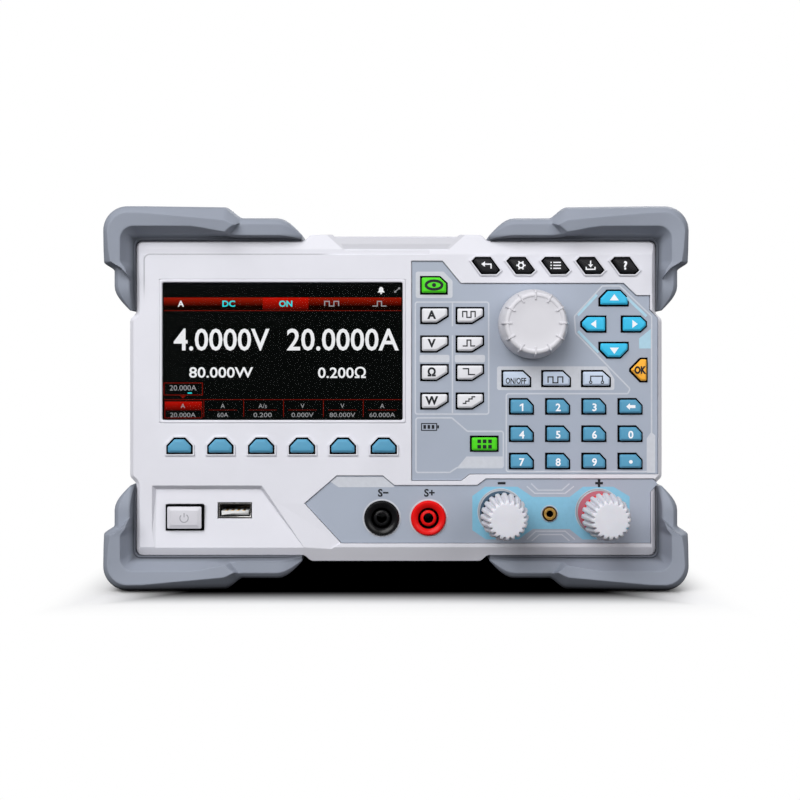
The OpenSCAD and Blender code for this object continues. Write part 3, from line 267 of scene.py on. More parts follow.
class Graph:
    """The node tree of one material, with short calls to add and join nodes."""

    def __init__(self, name: str) -> None:
        """Starts a material with a shader and the object's own coordinates.

        Args:
            name: name of the material.
        """
        self.material = bpy.data.materials.new(name)
        self.material.use_nodes = True
        self.tree = self.material.node_tree
        self.tree.nodes.clear()
        self.output = self.add("ShaderNodeOutputMaterial")
        self.shader = self.add("ShaderNodeBsdfPrincipled")
        self.link(self.shader.outputs["BSDF"], self.output.inputs["Surface"])
        self.place = self.add("ShaderNodeTexCoord").outputs["Object"]

    def add(self, kind: str, **values: object) -> Node:
        """Adds a node.

        Args:
            kind: Blender's name of the node's type.
            values: properties of the node to set.

        Returns:
            The new node.
        """
        node = self.tree.nodes.new(kind)
        for key, value in values.items():
            setattr(node, key, value)
        return node

    def link(self, source: Socket, target: Socket) -> None:
        """Links an output of one node to an input of another."""
        self.tree.links.new(source, target)

    def wire(self, source: Socket, name: str) -> None:
        """Links an output to one of the shader's sockets."""
        self.link(source, self.shader.inputs[name])

    def set(self, **values: object) -> None:
        """Sets the shader's sockets; an underscore stands for a space in a socket's name."""
        for key, value in values.items():
            self.shader.inputs[key.replace("_", " ")].default_value = value

    def noise(self, size: float, detail: float = 2.0, stretch: Point3 = (1, 1, 1)) -> Socket:
        """Adds a noise pattern.

        Args:
            size: size of its features in millimetres.
            detail: octaves of finer noise.
            stretch: scale along x, y and z.

        Returns:
            The socket of the pattern.
        """
        mapping = self.add("ShaderNodeMapping")
        mapping.inputs["Scale"].default_value = stretch
        self.link(self.place, mapping.inputs["Vector"])
        node = self.add("ShaderNodeTexNoise")
        node.inputs["Scale"].default_value = 1 / (size * MM)
        node.inputs["Detail"].default_value = detail
        self.link(mapping.outputs["Vector"], node.inputs["Vector"])
        return node.outputs["Fac"]

    def axes(self) -> tuple[Socket, Socket, Socket]:
        """Returns the sockets of the object's x, y and z."""
        split = self.add("ShaderNodeSeparateXYZ")
        self.link(self.place, split.inputs["Vector"])
        return split.outputs["X"], split.outputs["Y"], split.outputs["Z"]

    def math(self, kind: str, a: Socket, b: Socket | float = 0.0) -> Socket:
        """Adds a sum of two values.

        Args:
            kind: Blender's name of the operation.
            a: first value.
            b: second value.

        Returns:
            The socket of the result.
        """
        node = self.add("ShaderNodeMath", operation=kind)
        self.link(a, node.inputs[0])
        if isinstance(b, (int, float)):
            node.inputs[1].default_value = b
        else:
            self.link(b, node.inputs[1])
        return node.outputs[0]

    def ramp(
        self, value: Socket, low: float, high: float, start: float = 0.0, end: float = 1.0, soft: bool = True
    ) -> Socket:
        """Adds a step from one level to another.

        Args:
            value: the value that is mapped.
            low: where the step starts.
            high: where it ends.
            start: result before the step.
            end: result after it.
            soft: whether the step eases in and out.

        Returns:
            The socket of the result.
        """
        node = self.add("ShaderNodeMapRange", interpolation_type="SMOOTHSTEP" if soft else "LINEAR")
        for name, number in zip(("From Min", "From Max", "To Min", "To Max"), (low, high, start, end)):
            node.inputs[name].default_value = number
        self.link(value, node.inputs["Value"])
        return node.outputs["Result"]

    def spread(self, pattern: Socket, low: float, high: float) -> Socket:
        """Maps a pattern's usual range to low and high values."""
        return self.ramp(pattern, 0.3, 0.7, low, high, soft=False)

    def tint(self, colour: Colour, pattern: Socket, depth: float) -> Socket:
        """Varies the base colour with a pattern.

        Args:
            colour: the mean colour.
            pattern: the pattern.
            depth: how far the colour may lighten or darken, as a share.

        Returns:
            The socket of the colour.
        """
        base = linear(colour)
        mix = self.add("ShaderNodeMix", data_type="RGBA")
        for socket, factor in ((6, 1 - depth), (7, 1 + depth)):
            mix.inputs[socket].default_value = [min(1.0, c * factor) for c in base[:3]] + [1.0]
        self.link(self.spread(pattern, 0.0, 1.0), mix.inputs[0])
        self.wire(mix.outputs[2], "Base Color")
        return mix.outputs[2]

    def shade(self, colour: Socket, level: Socket) -> None:
        """Darkens the base colour.

        Args:
            colour: the colour before.
            level: what it is multiplied by.
        """
        mix = self.add("ShaderNodeMix", data_type="RGBA", blend_type="MULTIPLY")
        mix.inputs[0].default_value = 1.0
        self.link(colour, mix.inputs[6])
        self.link(level, mix.inputs[7])
        self.wire(mix.outputs[2], "Base Color")

    def relief(self, pattern: Socket, height: float, edge: float = 0.0) -> None:
        """Raises the surface by a pattern and softens sharp edges.

        Args:
            pattern: the pattern of heights.
            height: height of the relief in millimetres.
            edge: radius that sharp edges seem to have, in millimetres.
        """
        bump = self.add("ShaderNodeBump")
        bump.inputs["Strength"].default_value = 0.6
        bump.inputs["Distance"].default_value = height * MM
        self.link(pattern, bump.inputs["Height"])
        if edge:
            round_edge = self.add("ShaderNodeBevel", samples=4)
            round_edge.inputs["Radius"].default_value = edge * MM
            self.link(round_edge.outputs["Normal"], bump.inputs["Normal"])
        self.wire(bump.outputs["Normal"], "Normal")

    def blend(self, share: Socket, first: Socket, second: Socket) -> Socket:
        """Mixes two shaders.

        Args:
            share: share of the second.
            first: one shader.
            second: the other.

        Returns:
            The socket of the mix.
        """
        mix = self.add("ShaderNodeMixShader")
        for target, source in enumerate((share, first, second)):
            self.link(source, mix.inputs[target])
        return mix.outputs[0]


@dataclass(frozen=True)
class Finish:
    """A named finish; each kind of finish says how its material is made."""

    name: str
    colour: Colour = (255, 255, 255)

    def paint(self, graph: Graph) -> None:
        """Fills in the graph of the material."""
        raise NotImplementedError

    def material(self) -> bpy.types.Material:
        """Returns the material of this finish, made on first use."""
        known = bpy.data.materials.get(self.name)
        if known is None:
            graph = Graph(self.name)
            self.paint(graph)
            known = graph.material
        return known


@dataclass(frozen=True)
class Surface(Finish):
    """A surface with mottled colour, uneven gloss and a fine grain, as moulded plastic has.

    Attributes:
        uneven: how far the roughness goes below and above its usual value.
        cloud: size in millimetres and detail of the mottling.
        mottle: how far the colour lightens and darkens, as a share.
        grain: size and detail of the grain, which also varies the gloss of metal.
        stretch: scale of the grain along x, y and z.
        relief: height of the grain in millimetres, 0 for none.
        edge: radius that sharp edges seem to have.
        gloss: level of the reflection.
        scatter: share of the light that passes below the surface.
    """

    rough: float = 0.48
    uneven: Point2 = (0.04, 0.05)
    cloud: Point2 = (22.0, 4.0)
    mottle: float = 0.025
    grain: Point2 = (0.35, 3.0)
    stretch: Point3 = (1.0, 1.0, 1.0)
    relief: float = 0.012
    edge: float = 0.0
    gloss: float = 0.4
    scatter: float = 0.0
    metal: bool = False

    def shadow(self, graph: Graph) -> Socket | None:
        """Returns a level of painted shade that darkens the colour, if this surface has one."""
        return None

    def paint(self, graph: Graph) -> None:
        """Fills in mottling, painted shade, grain and uneven gloss.

        Args:
            graph: nodes of the material.
        """
        cloud = worn = graph.noise(*self.cloud)
        tinted = graph.tint(self.colour, cloud, self.mottle)
        level = self.shadow(graph)
        if level is not None:
            graph.shade(tinted, level)
        if self.relief:
            grain = graph.noise(*self.grain, self.stretch)
            graph.relief(grain, self.relief, self.edge)
            worn = grain if self.metal else cloud
        rough = graph.spread(worn, self.rough - self.uneven[0], self.rough + self.uneven[1])
        graph.wire(rough, "Roughness")
        graph.set(Specular_IOR_Level=self.gloss, Metallic=float(self.metal))
        if self.scatter:
            graph.set(Subsurface_Weight=self.scatter, Subsurface_Scale=MM)


@dataclass(frozen=True)
class Stepped(Surface):
    """Moulded plastic with soft painted shade along a low step round a corner, and in the dip at the top."""

    left: float = -103.0
    top: float = 137.35
    radius: float = 2.4
    line: float = 0.5
    dip_low: float = 139.5
    dip_half: float = 21.85
    dip_slope: float = 1.1
    dip_shade: float = 0.8

    def shadow(self, graph: Graph) -> Socket:
        """Returns the painted shades of the step and the dip as one level."""
        x, _, z = graph.axes()
        return graph.math("MULTIPLY", self.step(graph, x, z), self.dip(graph, x, z))

    def dip(self, graph: Graph, x: Socket, z: Socket) -> Socket:
        """Works out the painted shade of the dip.

        Args:
            graph: nodes of the material.
            x: place along x.
            z: place along z.

        Returns:
            A level that is low inside the dip and 1 elsewhere.
        """
        rise = graph.math("SUBTRACT", z, self.dip_low * MM)
        half = graph.math("MULTIPLY", rise, self.dip_slope)
        far = graph.math("SUBTRACT", graph.math("ABSOLUTE", x), half)
        edges = (self.dip_half - 0.4) * MM, (self.dip_half + 0.4) * MM
        across = graph.ramp(far, *edges, self.dip_shade, 1.0)
        return graph.math("MAXIMUM", across, graph.ramp(rise, -0.3 * MM, 0.3 * MM, 1.0, self.dip_shade))

    def step(self, graph: Graph, x: Socket, z: Socket) -> Socket:
        """Works out the painted shade of the step, which fades downwards and to the right.

        Args:
            graph: nodes of the material.
            x: place along x.
            z: place along z.

        Returns:
            A level that is low along the step and 1 elsewhere.
        """
        side = graph.math("MINIMUM", graph.math("SUBTRACT", x, (self.left + self.radius) * MM), 0.0)
        rise = graph.math("MAXIMUM", graph.math("SUBTRACT", z, (self.top - self.radius) * MM), 0.0)
        far = graph.math("ADD", graph.math("MULTIPLY", side, side), graph.math("MULTIPLY", rise, rise))
        far = graph.math("SUBTRACT", graph.math("SQRT", far), self.radius * MM)
        near = graph.ramp(graph.math("ABSOLUTE", far), 0.1 * self.line * MM, self.line * MM, 1.0, 0.0)
        down = graph.ramp(z, (self.top - 22) * MM, (self.top - 8) * MM)
        along = graph.ramp(x, -34 * MM, -22 * MM, 1.0, 0.0)
        near = graph.math("MULTIPLY", graph.math("MULTIPLY", near, down), along)
        return graph.ramp(near, 0.0, 1.0, 1.0, 0.62)


@dataclass(frozen=True)
class Rubber(Surface):
    """Soft matt rubber with a coarse grain, dusty patches, painted shade along the case and painted shadow
    on the feet.
    """

    colour: Colour = (144, 150, 163)
    rough: float = 0.6
    uneven: Point2 = (0.04, 0.08)
    cloud: Point2 = (38.0, 5.0)
    mottle: float = 0.045
    grain: Point2 = (0.55, 4.0)
    relief: float = 0.02
    gloss: float = 0.25
    mid_z: float = 78.49

    def shadow(self, graph: Graph) -> Socket:
        """Works out the painted shade along the case and the painted shadow at the feet.

        Args:
            graph: nodes of the material.

        Returns:
            A level that is low there and 1 elsewhere.
        """
        x, _, z = graph.axes()
        side = graph.math("SUBTRACT", graph.math("ABSOLUTE", x), HALF_W * MM)
        rise = graph.math("ABSOLUTE", graph.math("SUBTRACT", z, self.mid_z * MM))
        far = graph.math("MAXIMUM", side, graph.math("SUBTRACT", rise, HALF_H * MM))
        # painted shade darkens the groove along the case, and painted shadow darkens the rubber below a
        # height of 4 mm
        painted_groove_shade = graph.ramp(far, 0.3 * MM, 2.6 * MM, 0.4, 1.0)
        return graph.math("MULTIPLY", painted_groove_shade, graph.ramp(z, 0.6 * MM, 4.0 * MM, 0.3, 1.0))


@dataclass(frozen=True)
class Metal(Surface):
    """Bare or plated metal, brushed along one axis."""

    rough: float = 0.32
    uneven: Point2 = (0.07, 0.1)
    cloud: Point2 = (9.0, 4.0)
    mottle: float = 0.06
    grain: Point2 = (0.4, 3.0)
    stretch: Point3 = (0.05, 1.0, 1.0)
    relief: float = 0.006
    edge: float = 0.15
    gloss: float = 0.5
    metal: bool = True


@dataclass(frozen=True)
class Ink(Surface):
    """Printed ink or paint, slightly uneven."""

    rough: float = 0.5
    uneven: Point2 = (0.05, 0.05)
    cloud: Point2 = (1.6, 3.0)
    mottle: float = 0.03
    relief: float = 0.0
    gloss: float = 0.3


@dataclass(frozen=True)
class Window(Finish):
    """Clear window with an anti-reflex coat and a faint uneven gloss."""

    def paint(self, graph: Graph) -> None:
        """Fills in clear glass."""
        graph.wire(graph.spread(graph.noise(30.0), 0.01, 0.03), "Roughness")
        graph.set(Base_Color=(0.97, 0.98, 1.0, 1.0), Transmission_Weight=1.0, IOR=1.08)


@dataclass(frozen=True)
class Lit(Finish):
    """A lit area of the screen, which may fade from its colour at a high z to another at a low one."""

    fade: Colour | None = None
    low: float = 0.0
    high: float = 1.0
    row_pitch: float = 0.21

    def paint(self, graph: Graph) -> None:
        """Fills in the glow, with the lines of the picture elements.

        Args:
            graph: nodes of the material.
        """
        rows = graph.add("ShaderNodeTexWave", bands_direction="Z", wave_profile="SIN")
        rows.inputs["Scale"].default_value = 1 / (self.row_pitch * MM) / 20 * math.pi
        graph.link(graph.place, rows.inputs["Vector"])
        graph.wire(graph.spread(rows.outputs["Fac"], 0.93, 1.0), "Emission Strength")
        graph.set(Base_Color=(0.0, 0.0, 0.0, 1.0), Roughness=0.4, Specular_IOR_Level=0.0)
        if self.fade is None:
            graph.set(Emission_Color=linear(self.colour))
            return
        mix = graph.add("ShaderNodeMix", data_type="RGBA")
        mix.inputs[6].default_value = linear(self.fade)
        mix.inputs[7].default_value = linear(self.colour)
        level = graph.ramp(graph.axes()[2], self.low * MM, self.high * MM, soft=False)
        graph.link(level, mix.inputs[0])
        graph.wire(mix.outputs[2], "Emission Color")


@dataclass(frozen=True)
class Laminate(Finish):
    """Circuit board laminate with the pattern of its tracks."""

    colour: Colour = (30, 96, 58)
    track_pitch: float = 3.2

    def paint(self, graph: Graph) -> None:
        """Fills in lacquer over a maze of copper tracks.

        Args:
            graph: nodes of the material.
        """
        cells = graph.add("ShaderNodeTexVoronoi", distance="MANHATTAN", feature="F1")
        cells.inputs["Scale"].default_value = 1 / (self.track_pitch * MM)
        graph.link(graph.place, cells.inputs["Vector"])
        graph.tint(self.colour, cells.outputs["Distance"], 0.35)
        graph.relief(cells.outputs["Distance"], 0.03)
        graph.set(Roughness=0.35)


BEZEL = Stepped("bezel_plastic", (221, 221, 229), edge=0.45)
PANEL = Surface("panel_plastic", (165, 173, 188), rough=0.42, relief=0.006, edge=0.25)
RUBBER = Rubber("bumper_rubber")
COVER = Surface(
    "cover_paint", (204, 204, 211), rough=0.46, uneven=(0.04, 0.06), cloud=(60.0, 4.0), mottle=0.02,
    grain=(0.9, 3.0), relief=0.02, edge=0.3, gloss=0.45,
)
STEEL = Metal("zinc_plated_steel", (196, 199, 204))
NICKEL = Metal("nickel_shell", (176, 174, 172), rough=0.26)
BRASS = Metal("brass", (252, 198, 108), rough=0.34, mottle=0.1)
# darker brass that paints shade inside and outside the jack's ring
SHADED_BRASS = Metal("shaded_brass", (104, 70, 34), rough=0.4, mottle=0.1)
ALUMINIUM = Metal("extruded_aluminium", (170, 173, 178), rough=0.4, stretch=(1.0, 0.03, 1.0))
BLACK_PLASTIC = Surface("black_plastic", (15, 15, 17), rough=0.3, edge=0.25, gloss=0.25)
RED_PLASTIC = Surface("red_plastic", (228, 17, 17), rough=0.34, edge=0.25, gloss=0.2)
DARK_COLLAR = Surface("dark_collar", (60, 82, 102), rough=0.35, gloss=0.3)
ROSE_COLLAR = Surface("rose_collar", (180, 96, 110), rough=0.35, gloss=0.3)
COLLAR_RING = Surface("collar_ring", (158, 161, 168), rough=0.35)
GREEN_HEADER = Surface("green_header", (64, 150, 92), rough=0.45)
LIGHT_TONGUE = Surface("white_tongue", (226, 226, 226), rough=0.4)
KNOB_PLASTIC = Surface("knob_plastic", (213, 212, 218), rough=0.5, gloss=0.3)
POST_CAP = Surface(
    "post_cap_plastic", (216, 216, 224), rough=0.34, uneven=(0.04, 0.06), cloud=(5.0, 3.0),
    mottle=0.02, grain=(0.5, 2.0), relief=0.008, gloss=0.35, scatter=0.06,
)
WINDOW = Window("window_glass")
LCD_FRAME = Surface("lcd_frame", (44, 46, 50), rough=0.5)
BOARD = Laminate("board_laminate")
# black that paints shade: key skirts and flanges, frames in the gaps round the keys, and socket holes
SHADE_BLACK = Surface("key_rubber", (5, 5, 7), rough=0.7, gloss=0.05)
DARK_INK = Ink("dark_ink", (24, 26, 32))
LIGHT_INK = Ink("light_ink", (243, 244, 248))
PALE_INK = Ink("pale_print", (199, 202, 210))
LINE_INK = Ink("line_print", (196, 200, 209))
MIST_INK = Ink("mist_print", (172, 207, 224))
BLUE_INK = Ink("blue_print", (132, 190, 217))
# grey that paints the shading of the power key's embossed sign
EMBOSS_SHADE_INK = Ink("emboss_painted_shade", (160, 160, 167))


# Meshes


def into_scene(name: str, data: bpy.types.ID) -> Piece:
    """Makes an object of a mesh, a light or the like.

    Args:
        name: name of the object.
        data: what it shows.

    Returns:
        The object, linked to the scene.
    """
    made = bpy.data.objects.new(name, data)
    bpy.context.scene.collection.objects.link(made)
    return made


def piece_from(name: str, bm: bmesh.types.BMesh, finishes: Sequence[Finish], smooth: float) -> Piece:
    """Makes a mesh under work an object.

    Args:
        name: name of the piece.
        bm: the mesh under work, which is freed.
        finishes: finish of each material slot.
        smooth: edges sharper than this many degrees stay sharp.

    Returns:
        The object, linked to the scene.
    """
    mesh = bpy.data.meshes.new(name)
    bm.to_mesh(mesh)
    bm.free()
    mesh.shade_smooth()
    mesh.set_sharp_from_angle(angle=math.radians(smooth))
    for finish in finishes:
        mesh.materials.append(finish.material())
    return into_scene(name, mesh)


class Draft:
    """Vertices and faces of one piece, in millimetres behind the face of the bezel."""

    def __init__(self) -> None:
        """Starts an empty piece."""
        self.points: Ring = []
        self.faces: list[tuple[int, ...]] = []
        self.slots: list[int] = []

    def face(self, corners: Sequence[int], slot: int) -> None:
        """Adds one face in a material slot."""
        self.faces.append(tuple(corners))
        self.slots.append(slot)

    def loft(self, rings: Sequence[Sequence[Point3]], slot: int = 0, loop: bool = False) -> None:
        """Joins rings of equal length by a skin.

        Args:
            rings: rings of points, one after the other.
            slot: material slot of the faces.
            loop: whether the last ring joins the first; if not, the ends are closed.
        """
        base, m, n = len(self.points), len(rings[0]), len(rings)
        for ring in rings:
            self.points.extend(ring)
        for k in range(n if loop else n - 1):
            here, there = base + k * m, base + (k + 1) % n * m
            for i in range(m):
                j = (i + 1) % m
                self.face((here + i, here + j, there + j, there + i), slot)
        if not loop:
            self.face(range(base + m - 1, base - 1, -1), slot)
            self.face(range(base + (n - 1) * m, base + n * m), slot)

    def prism(self, outline: Path, y0: float, y1: float, slot: int = 0) -> None:
        """Adds a plate of an outline between two depths."""
        self.loft([ring_at(outline, y0), ring_at(outline, y1)], slot)

    def pierced(self, outer: Path, holes: Sequence[Path], y0: float, y1: float, slot: int = 0) -> None:
        """Adds a plate with holes.

        Args:
            outer: outline of the plate.
            holes: outlines of its holes.
            y0: front of the plate.
            y1: back of the plate.
            slot: material slot of the faces.
        """
        loops = [list(outer), *(list(hole) for hole in holes)]
        flat = [point for loop in loops for point in loop]
        front, back = len(self.points), len(self.points) + len(flat)
        self.points.extend(ring_at(flat, y0) + ring_at(flat, y1))
        for corners in tessellate_polygon([[Vector((x, z, 0)) for x, z in loop] for loop in loops]):
            self.face([front + i for i in corners], slot)
            self.face([back + i for i in reversed(corners)], slot)
        start = 0
        for loop in loops:
            for i in range(len(loop)):
                a, b = start + i, start + (i + 1) % len(loop)
                self.face((front + a, front + b, back + b, back + a), slot)
            start += len(loop)

    def frame(self, outer: Path, inner: Path, y0: float, y1: float, slot: int = 0) -> None:
        """Adds a frame between two outlines of as many points, between two depths."""
        rings = [ring_at(outer, y0), ring_at(outer, y1), ring_at(inner, y1), ring_at(inner, y0)]
        self.loft(rings, slot, loop=True)

    def turned(self, place: Point2, profile: Path, sides: int = 64) -> None:
        """Adds a piece turned about an axis, from the radius and depth of each point."""
        rings = [ring_at(disc(place, max(r, 1e-6), sides), y) for r, y in profile]
        self.loft(rings)

    def strip(
        self, path: Path, width: float, y0: float, y1: float, slot: int = 0, closed: bool = False
    ) -> None:
        """Adds a flat line of some width along a path.

        Args:
            path: corners of the line.
            width: its width.
            y0: front of the line.
            y1: back of the line.
            slot: material slot of the faces.
            closed: whether the line returns to its start.
        """
        if closed:
            self.frame(inset(path, -width / 2), inset(path, width / 2), y0, y1, slot)
            return
        left, right = [], []
        for i, (x, z) in enumerate(path):
            ahead = unit(path[i + 1][0] - x, path[i + 1][1] - z) if i + 1 < len(path) else None
            behind = unit(x - path[i - 1][0], z - path[i - 1][1]) if i else None
            u, v = behind or ahead, ahead or behind
            nx, nz = -u[1] - v[1], u[0] + v[0]
            scale = width / 2 / (1 + u[0] * v[0] + u[1] * v[1])
            left.append((x + nx * scale, z + nz * scale))
            right.append((x - nx * scale, z - nz * scale))
        for i in range(len(path) - 1):
            self.prism([right[i], right[i + 1], left[i + 1], left[i]], y0, y1, slot)

    def text(
        self, words: str, place: Point2, height: float, y0: float, y1: float, slot: int = 0,
        weight: float = 0.0, width: float | None = None,
    ) -> None:
        """Adds raised lettering.

        Args:
            words: what it says.
            place: centre of the lettering.
            height: height of a capital.
            y0: front of the lettering.
            y1: back of the lettering.
            slot: material slot of the faces.
            weight: how much the strokes are thickened, as a share of the height.
            width: width of the whole, if it is set.
        """
        points, faces = Lettering.shape(words, weight)
        xs, ys = [p[0] for p in points], [p[1] for p in points]
        mid_x, mid_y = (min(xs) + max(xs)) / 2, (min(ys) + max(ys)) / 2
        sx = width / (max(xs) - min(xs)) if width else height
        base = len(self.points)
        for x, y, z in points:
            px, pz = place[0] + (x - mid_x) * sx, place[1] + (y - mid_y) * height
            self.points.append((px, y0 if z > 0 else y1, pz))
        for corners in faces:
            self.face([base + i for i in corners], slot)

    def build(self, name: str, finishes: Sequence[Finish], smooth: float = 32.0) -> Piece:
        """Makes the piece a mesh object at the origin.

        Args:
            name: name of the piece.
            finishes: finish of each material slot.
            smooth: edges sharper than this many degrees stay sharp.

        Returns:
            The object, linked to the scene.
        """
        bm = bmesh.new()
        verts = [bm.verts.new((x * MM, (y + FACE_Y) * MM, z * MM)) for x, y, z in self.points]
        for corners, slot in zip(self.faces, self.slots):
            bm.faces.new([verts[i] for i in corners]).material_index = slot
        bmesh.ops.remove_doubles(bm, verts=bm.verts, dist=1e-8)
        bmesh.ops.recalc_face_normals(bm, faces=bm.faces)
        return piece_from(name, bm, finishes, smooth)


class Lettering:
    """Shapes of words, at a capital's height of one."""

    known: dict[tuple[str, float], Mesh] = {}

    @classmethod
    def shape(cls, words: str, weight: float) -> Mesh:
        """Finds the shape of words, cut on first use.

        Args:
            words: what it says.
            weight: how much the strokes are thickened.

        Returns:
            Points and faces, with z above 0 on the front.
        """
        key = (words, weight)
        if key not in cls.known:
            cls.known[key] = cls.cut(words, weight)
        return cls.known[key]

    @staticmethod
    def cut(words: str, weight: float) -> Mesh:
        """Cuts words as a raised mesh.

        Args:
            words: what it says.
            weight: how much the strokes are thickened.

        Returns:
            Points and faces, where a capital is one high.
        """
        capital = 0.729
        curve = bpy.data.curves.new("words", "FONT")
        curve.body = words
        curve.offset = weight * capital
        curve.extrude = 0.5
        curve.resolution_u = 3
        holder = into_scene("words", curve)
        depsgraph = bpy.context.evaluated_depsgraph_get()
        mesh = bpy.data.meshes.new_from_object(holder.evaluated_get(depsgraph))
        points = [(v.co.x / capital, v.co.y / capital, v.co.z) for v in mesh.vertices]
        faces = [tuple(p.vertices) for p in mesh.polygons]
        bpy.data.objects.remove(holder)
        bpy.data.curves.remove(curve)
        bpy.data.meshes.remove(mesh)
        return points, faces


class Layout(Enum):
    """How a repeat lays out its copies."""

    RING = "ring"
    GRID = "grid"


@dataclass
class Repeat:
    """Copies of one shape, laid out by Geometry Nodes about a centre on the front or rear.

    Attributes:
        layout: ring about the centre, or grid in the x-z plane.
        count: copies on the ring, or columns and rows.
        span: width and height of the grid, unused on a ring.
        centre: middle of the layout in millimetres.
    """

    layout: Layout
    count: tuple[int, int]
    span: Point2
    centre: Point3

    INPUTS = (
        ("Shape", "Geometry"), ("Count", "Int"), ("Rows", "Int"), ("Width", "Float"), ("Height", "Float"),
        ("Centre", "Vector"), ("Material", "Material"),
    )

    def tree(self, name: str) -> bpy.types.NodeTree:
        """Builds the node tree with named inputs.

        Args:
            name: name of the tree.

        Returns:
            The tree, which ends in Realize Instances and Set Material.
        """
        tree = bpy.data.node_groups.new(name, "GeometryNodeTree")
        for label, kind in self.INPUTS:
            tree.interface.new_socket(label, in_out="INPUT", socket_type="NodeSocket" + kind)
        tree.interface.new_socket("Copies", in_out="OUTPUT", socket_type="NodeSocketGeometry")
        add, link = tree.nodes.new, tree.links.new
        given = add("NodeGroupInput").outputs
        copies, move = add("GeometryNodeInstanceOnPoints"), add("GeometryNodeTransform")
        link(given["Shape"], copies.inputs["Instance"])
        if self.layout is Layout.RING:
            link(self.ring(tree, given["Count"], copies), copies.inputs["Points"])
        else:
            grid, stand = add("GeometryNodeMeshGrid"), add("GeometryNodeTransform")
            sizes = ("Width", "Size X"), ("Height", "Size Y")
            counts = ("Count", "Vertices X"), ("Rows", "Vertices Y")
            for label, target in sizes + counts:
                link(given[label], grid.inputs[target])
            stand.inputs["Rotation"].default_value = (math.pi / 2, 0, 0)
            link(grid.outputs["Mesh"], stand.inputs["Geometry"])
            link(stand.outputs["Geometry"], copies.inputs["Points"])
        link(copies.outputs["Instances"], move.inputs["Geometry"])
        link(given["Centre"], move.inputs["Translation"])
        real, dress = add("GeometryNodeRealizeInstances"), add("GeometryNodeSetMaterial")
        link(move.outputs["Geometry"], real.inputs["Geometry"])
        link(real.outputs["Geometry"], dress.inputs["Geometry"])
        link(given["Material"], dress.inputs["Material"])
        link(dress.outputs["Geometry"], add("NodeGroupOutput").inputs["Copies"])
        return tree

    @staticmethod
    def ring(tree: bpy.types.NodeTree, count: Socket, copies: Node) -> Socket:
        """Adds points at the centre and turns the copy on each by its share of a full turn about y.

        Args:
            tree: the tree that takes the nodes.
            count: number of copies.
            copies: node that places the copies.

        Returns:
            The socket of the points.
        """
        add, link = tree.nodes.new, tree.links.new
        points = add("GeometryNodePoints")
        link(count, points.inputs["Count"])
        turn, each = add("ShaderNodeMath"), add("ShaderNodeMath")
        turn.operation, each.operation = "DIVIDE", "MULTIPLY"
        turn.inputs[0].default_value = 2 * math.pi
        link(count, turn.inputs[1])
        link(add("GeometryNodeInputIndex").outputs["Index"], each.inputs[0])
        link(turn.outputs[0], each.inputs[1])
        angles = add("ShaderNodeCombineXYZ")
        link(each.outputs[0], angles.inputs["Y"])
        link(angles.outputs["Vector"], copies.inputs["Rotation"])
        return points.outputs[0]

    def build(self, name: str, shape: Draft, finish: Finish) -> Piece:
        """Makes the copies a plain mesh object.

        Args:
            name: name of the piece.
            shape: the shape that repeats, about the origin.
            finish: its finish.

        Returns:
            The object, linked to the scene.
        """
        seed = shape.build(name + "_seed", [finish])
        for vertex in seed.data.vertices:
            vertex.co.y -= FACE_Y * MM
        modifier = seed.modifiers.new("copies", "NODES")
        tree = self.tree(name + "_tree")
        modifier.node_group = tree
        x, y, z = self.centre
        values = {
            "Count": self.count[0],
            "Rows": self.count[1],
            "Width": self.span[0] * MM,
            "Height": self.span[1] * MM,
            "Centre": (x * MM, (y + FACE_Y) * MM, z * MM),
            "Material": finish.material(),
        }
        for item in tree.interface.items_tree:
            if item.in_out == "INPUT" and item.name in values:
                modifier[item.identifier] = values[item.name]
        depsgraph = bpy.context.evaluated_depsgraph_get()
        mesh = bpy.data.meshes.new_from_object(seed.evaluated_get(depsgraph))
        seed.modifiers.clear()
        bpy.data.objects.remove(seed)
        return into_scene(name, mesh)


def place(piece: Piece, body: str, slot: str, replaces: Sequence[str] = ()) -> Piece:
    """Joins a finished piece to its body and reports it.

    Args:
        piece: the finished object.
        body: body that it rides on.
        slot: material slot of the record; not used.
        replaces: nodes that it stands for.

    Returns:
        The piece.
    """
    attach(piece, body)
    if replaces:
        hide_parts(*replaces)
    LOG.info("%s rides on %s, %d faces", piece.name, body, len(piece.data.polygons))
    return piece


class NodeDresser:
    """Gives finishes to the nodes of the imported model."""

    def __init__(self, nodes: dict[str, Piece]) -> None:
        """Keeps the nodes by name."""
        self.nodes = nodes

    def dress(self, node: str, finish: Finish) -> None:
        """Gives one node its finish.

        Args:
            node: name of the node.
            finish: its finish.
        """
        data = self.nodes[node].data
        data.materials.clear()
        data.materials.append(finish.material())
        LOG.info("%s dressed in %s", node, finish.name)

    def copy(
        self,
        node: str,
        name: str,
        finishes: Sequence[Finish],
        pick: Callable[[Vector, Vector], int | None],
    ) -> Piece:
        """Copies a node with a finish for each of its regions.

        Args:
            node: node to copy.
            name: name of the copy.
            finishes: finish of each material slot.
            pick: gives the slot from a face's centre and normal in millimetres, or None to drop it.

        Returns:
            The copy, which replaces the node.
        """
        source = self.nodes[node]
        bm = bmesh.new()
        bm.from_mesh(source.data)
        bmesh.ops.remove_doubles(bm, verts=bm.verts, dist=2e-6)
        dropped = []
        for part in bm.faces:
            middle = part.calc_center_median() / MM
            middle.y -= FACE_Y
            slot = pick(middle, part.normal)
            if slot is None:
                dropped.append(part)
            else:
                part.material_index = slot
        bmesh.ops.delete(bm, geom=dropped, context="FACES")
        return piece_from(name, bm, finishes, 28)


# Keys


class KeyKind(Enum):
    """Families of keys, which share an outline and a finish."""

    SOFT = "soft"
    POWER = "power"
    MENU = "menu"
    VIEW = "display"
    FUNCTION = "function"
    APP = "app"
    UP = "up"
    DOWN = "down"
    LEFT = "left"
    RIGHT = "right"
    OK = "ok"
    ACTION = "action"
    NUMBER = "number"


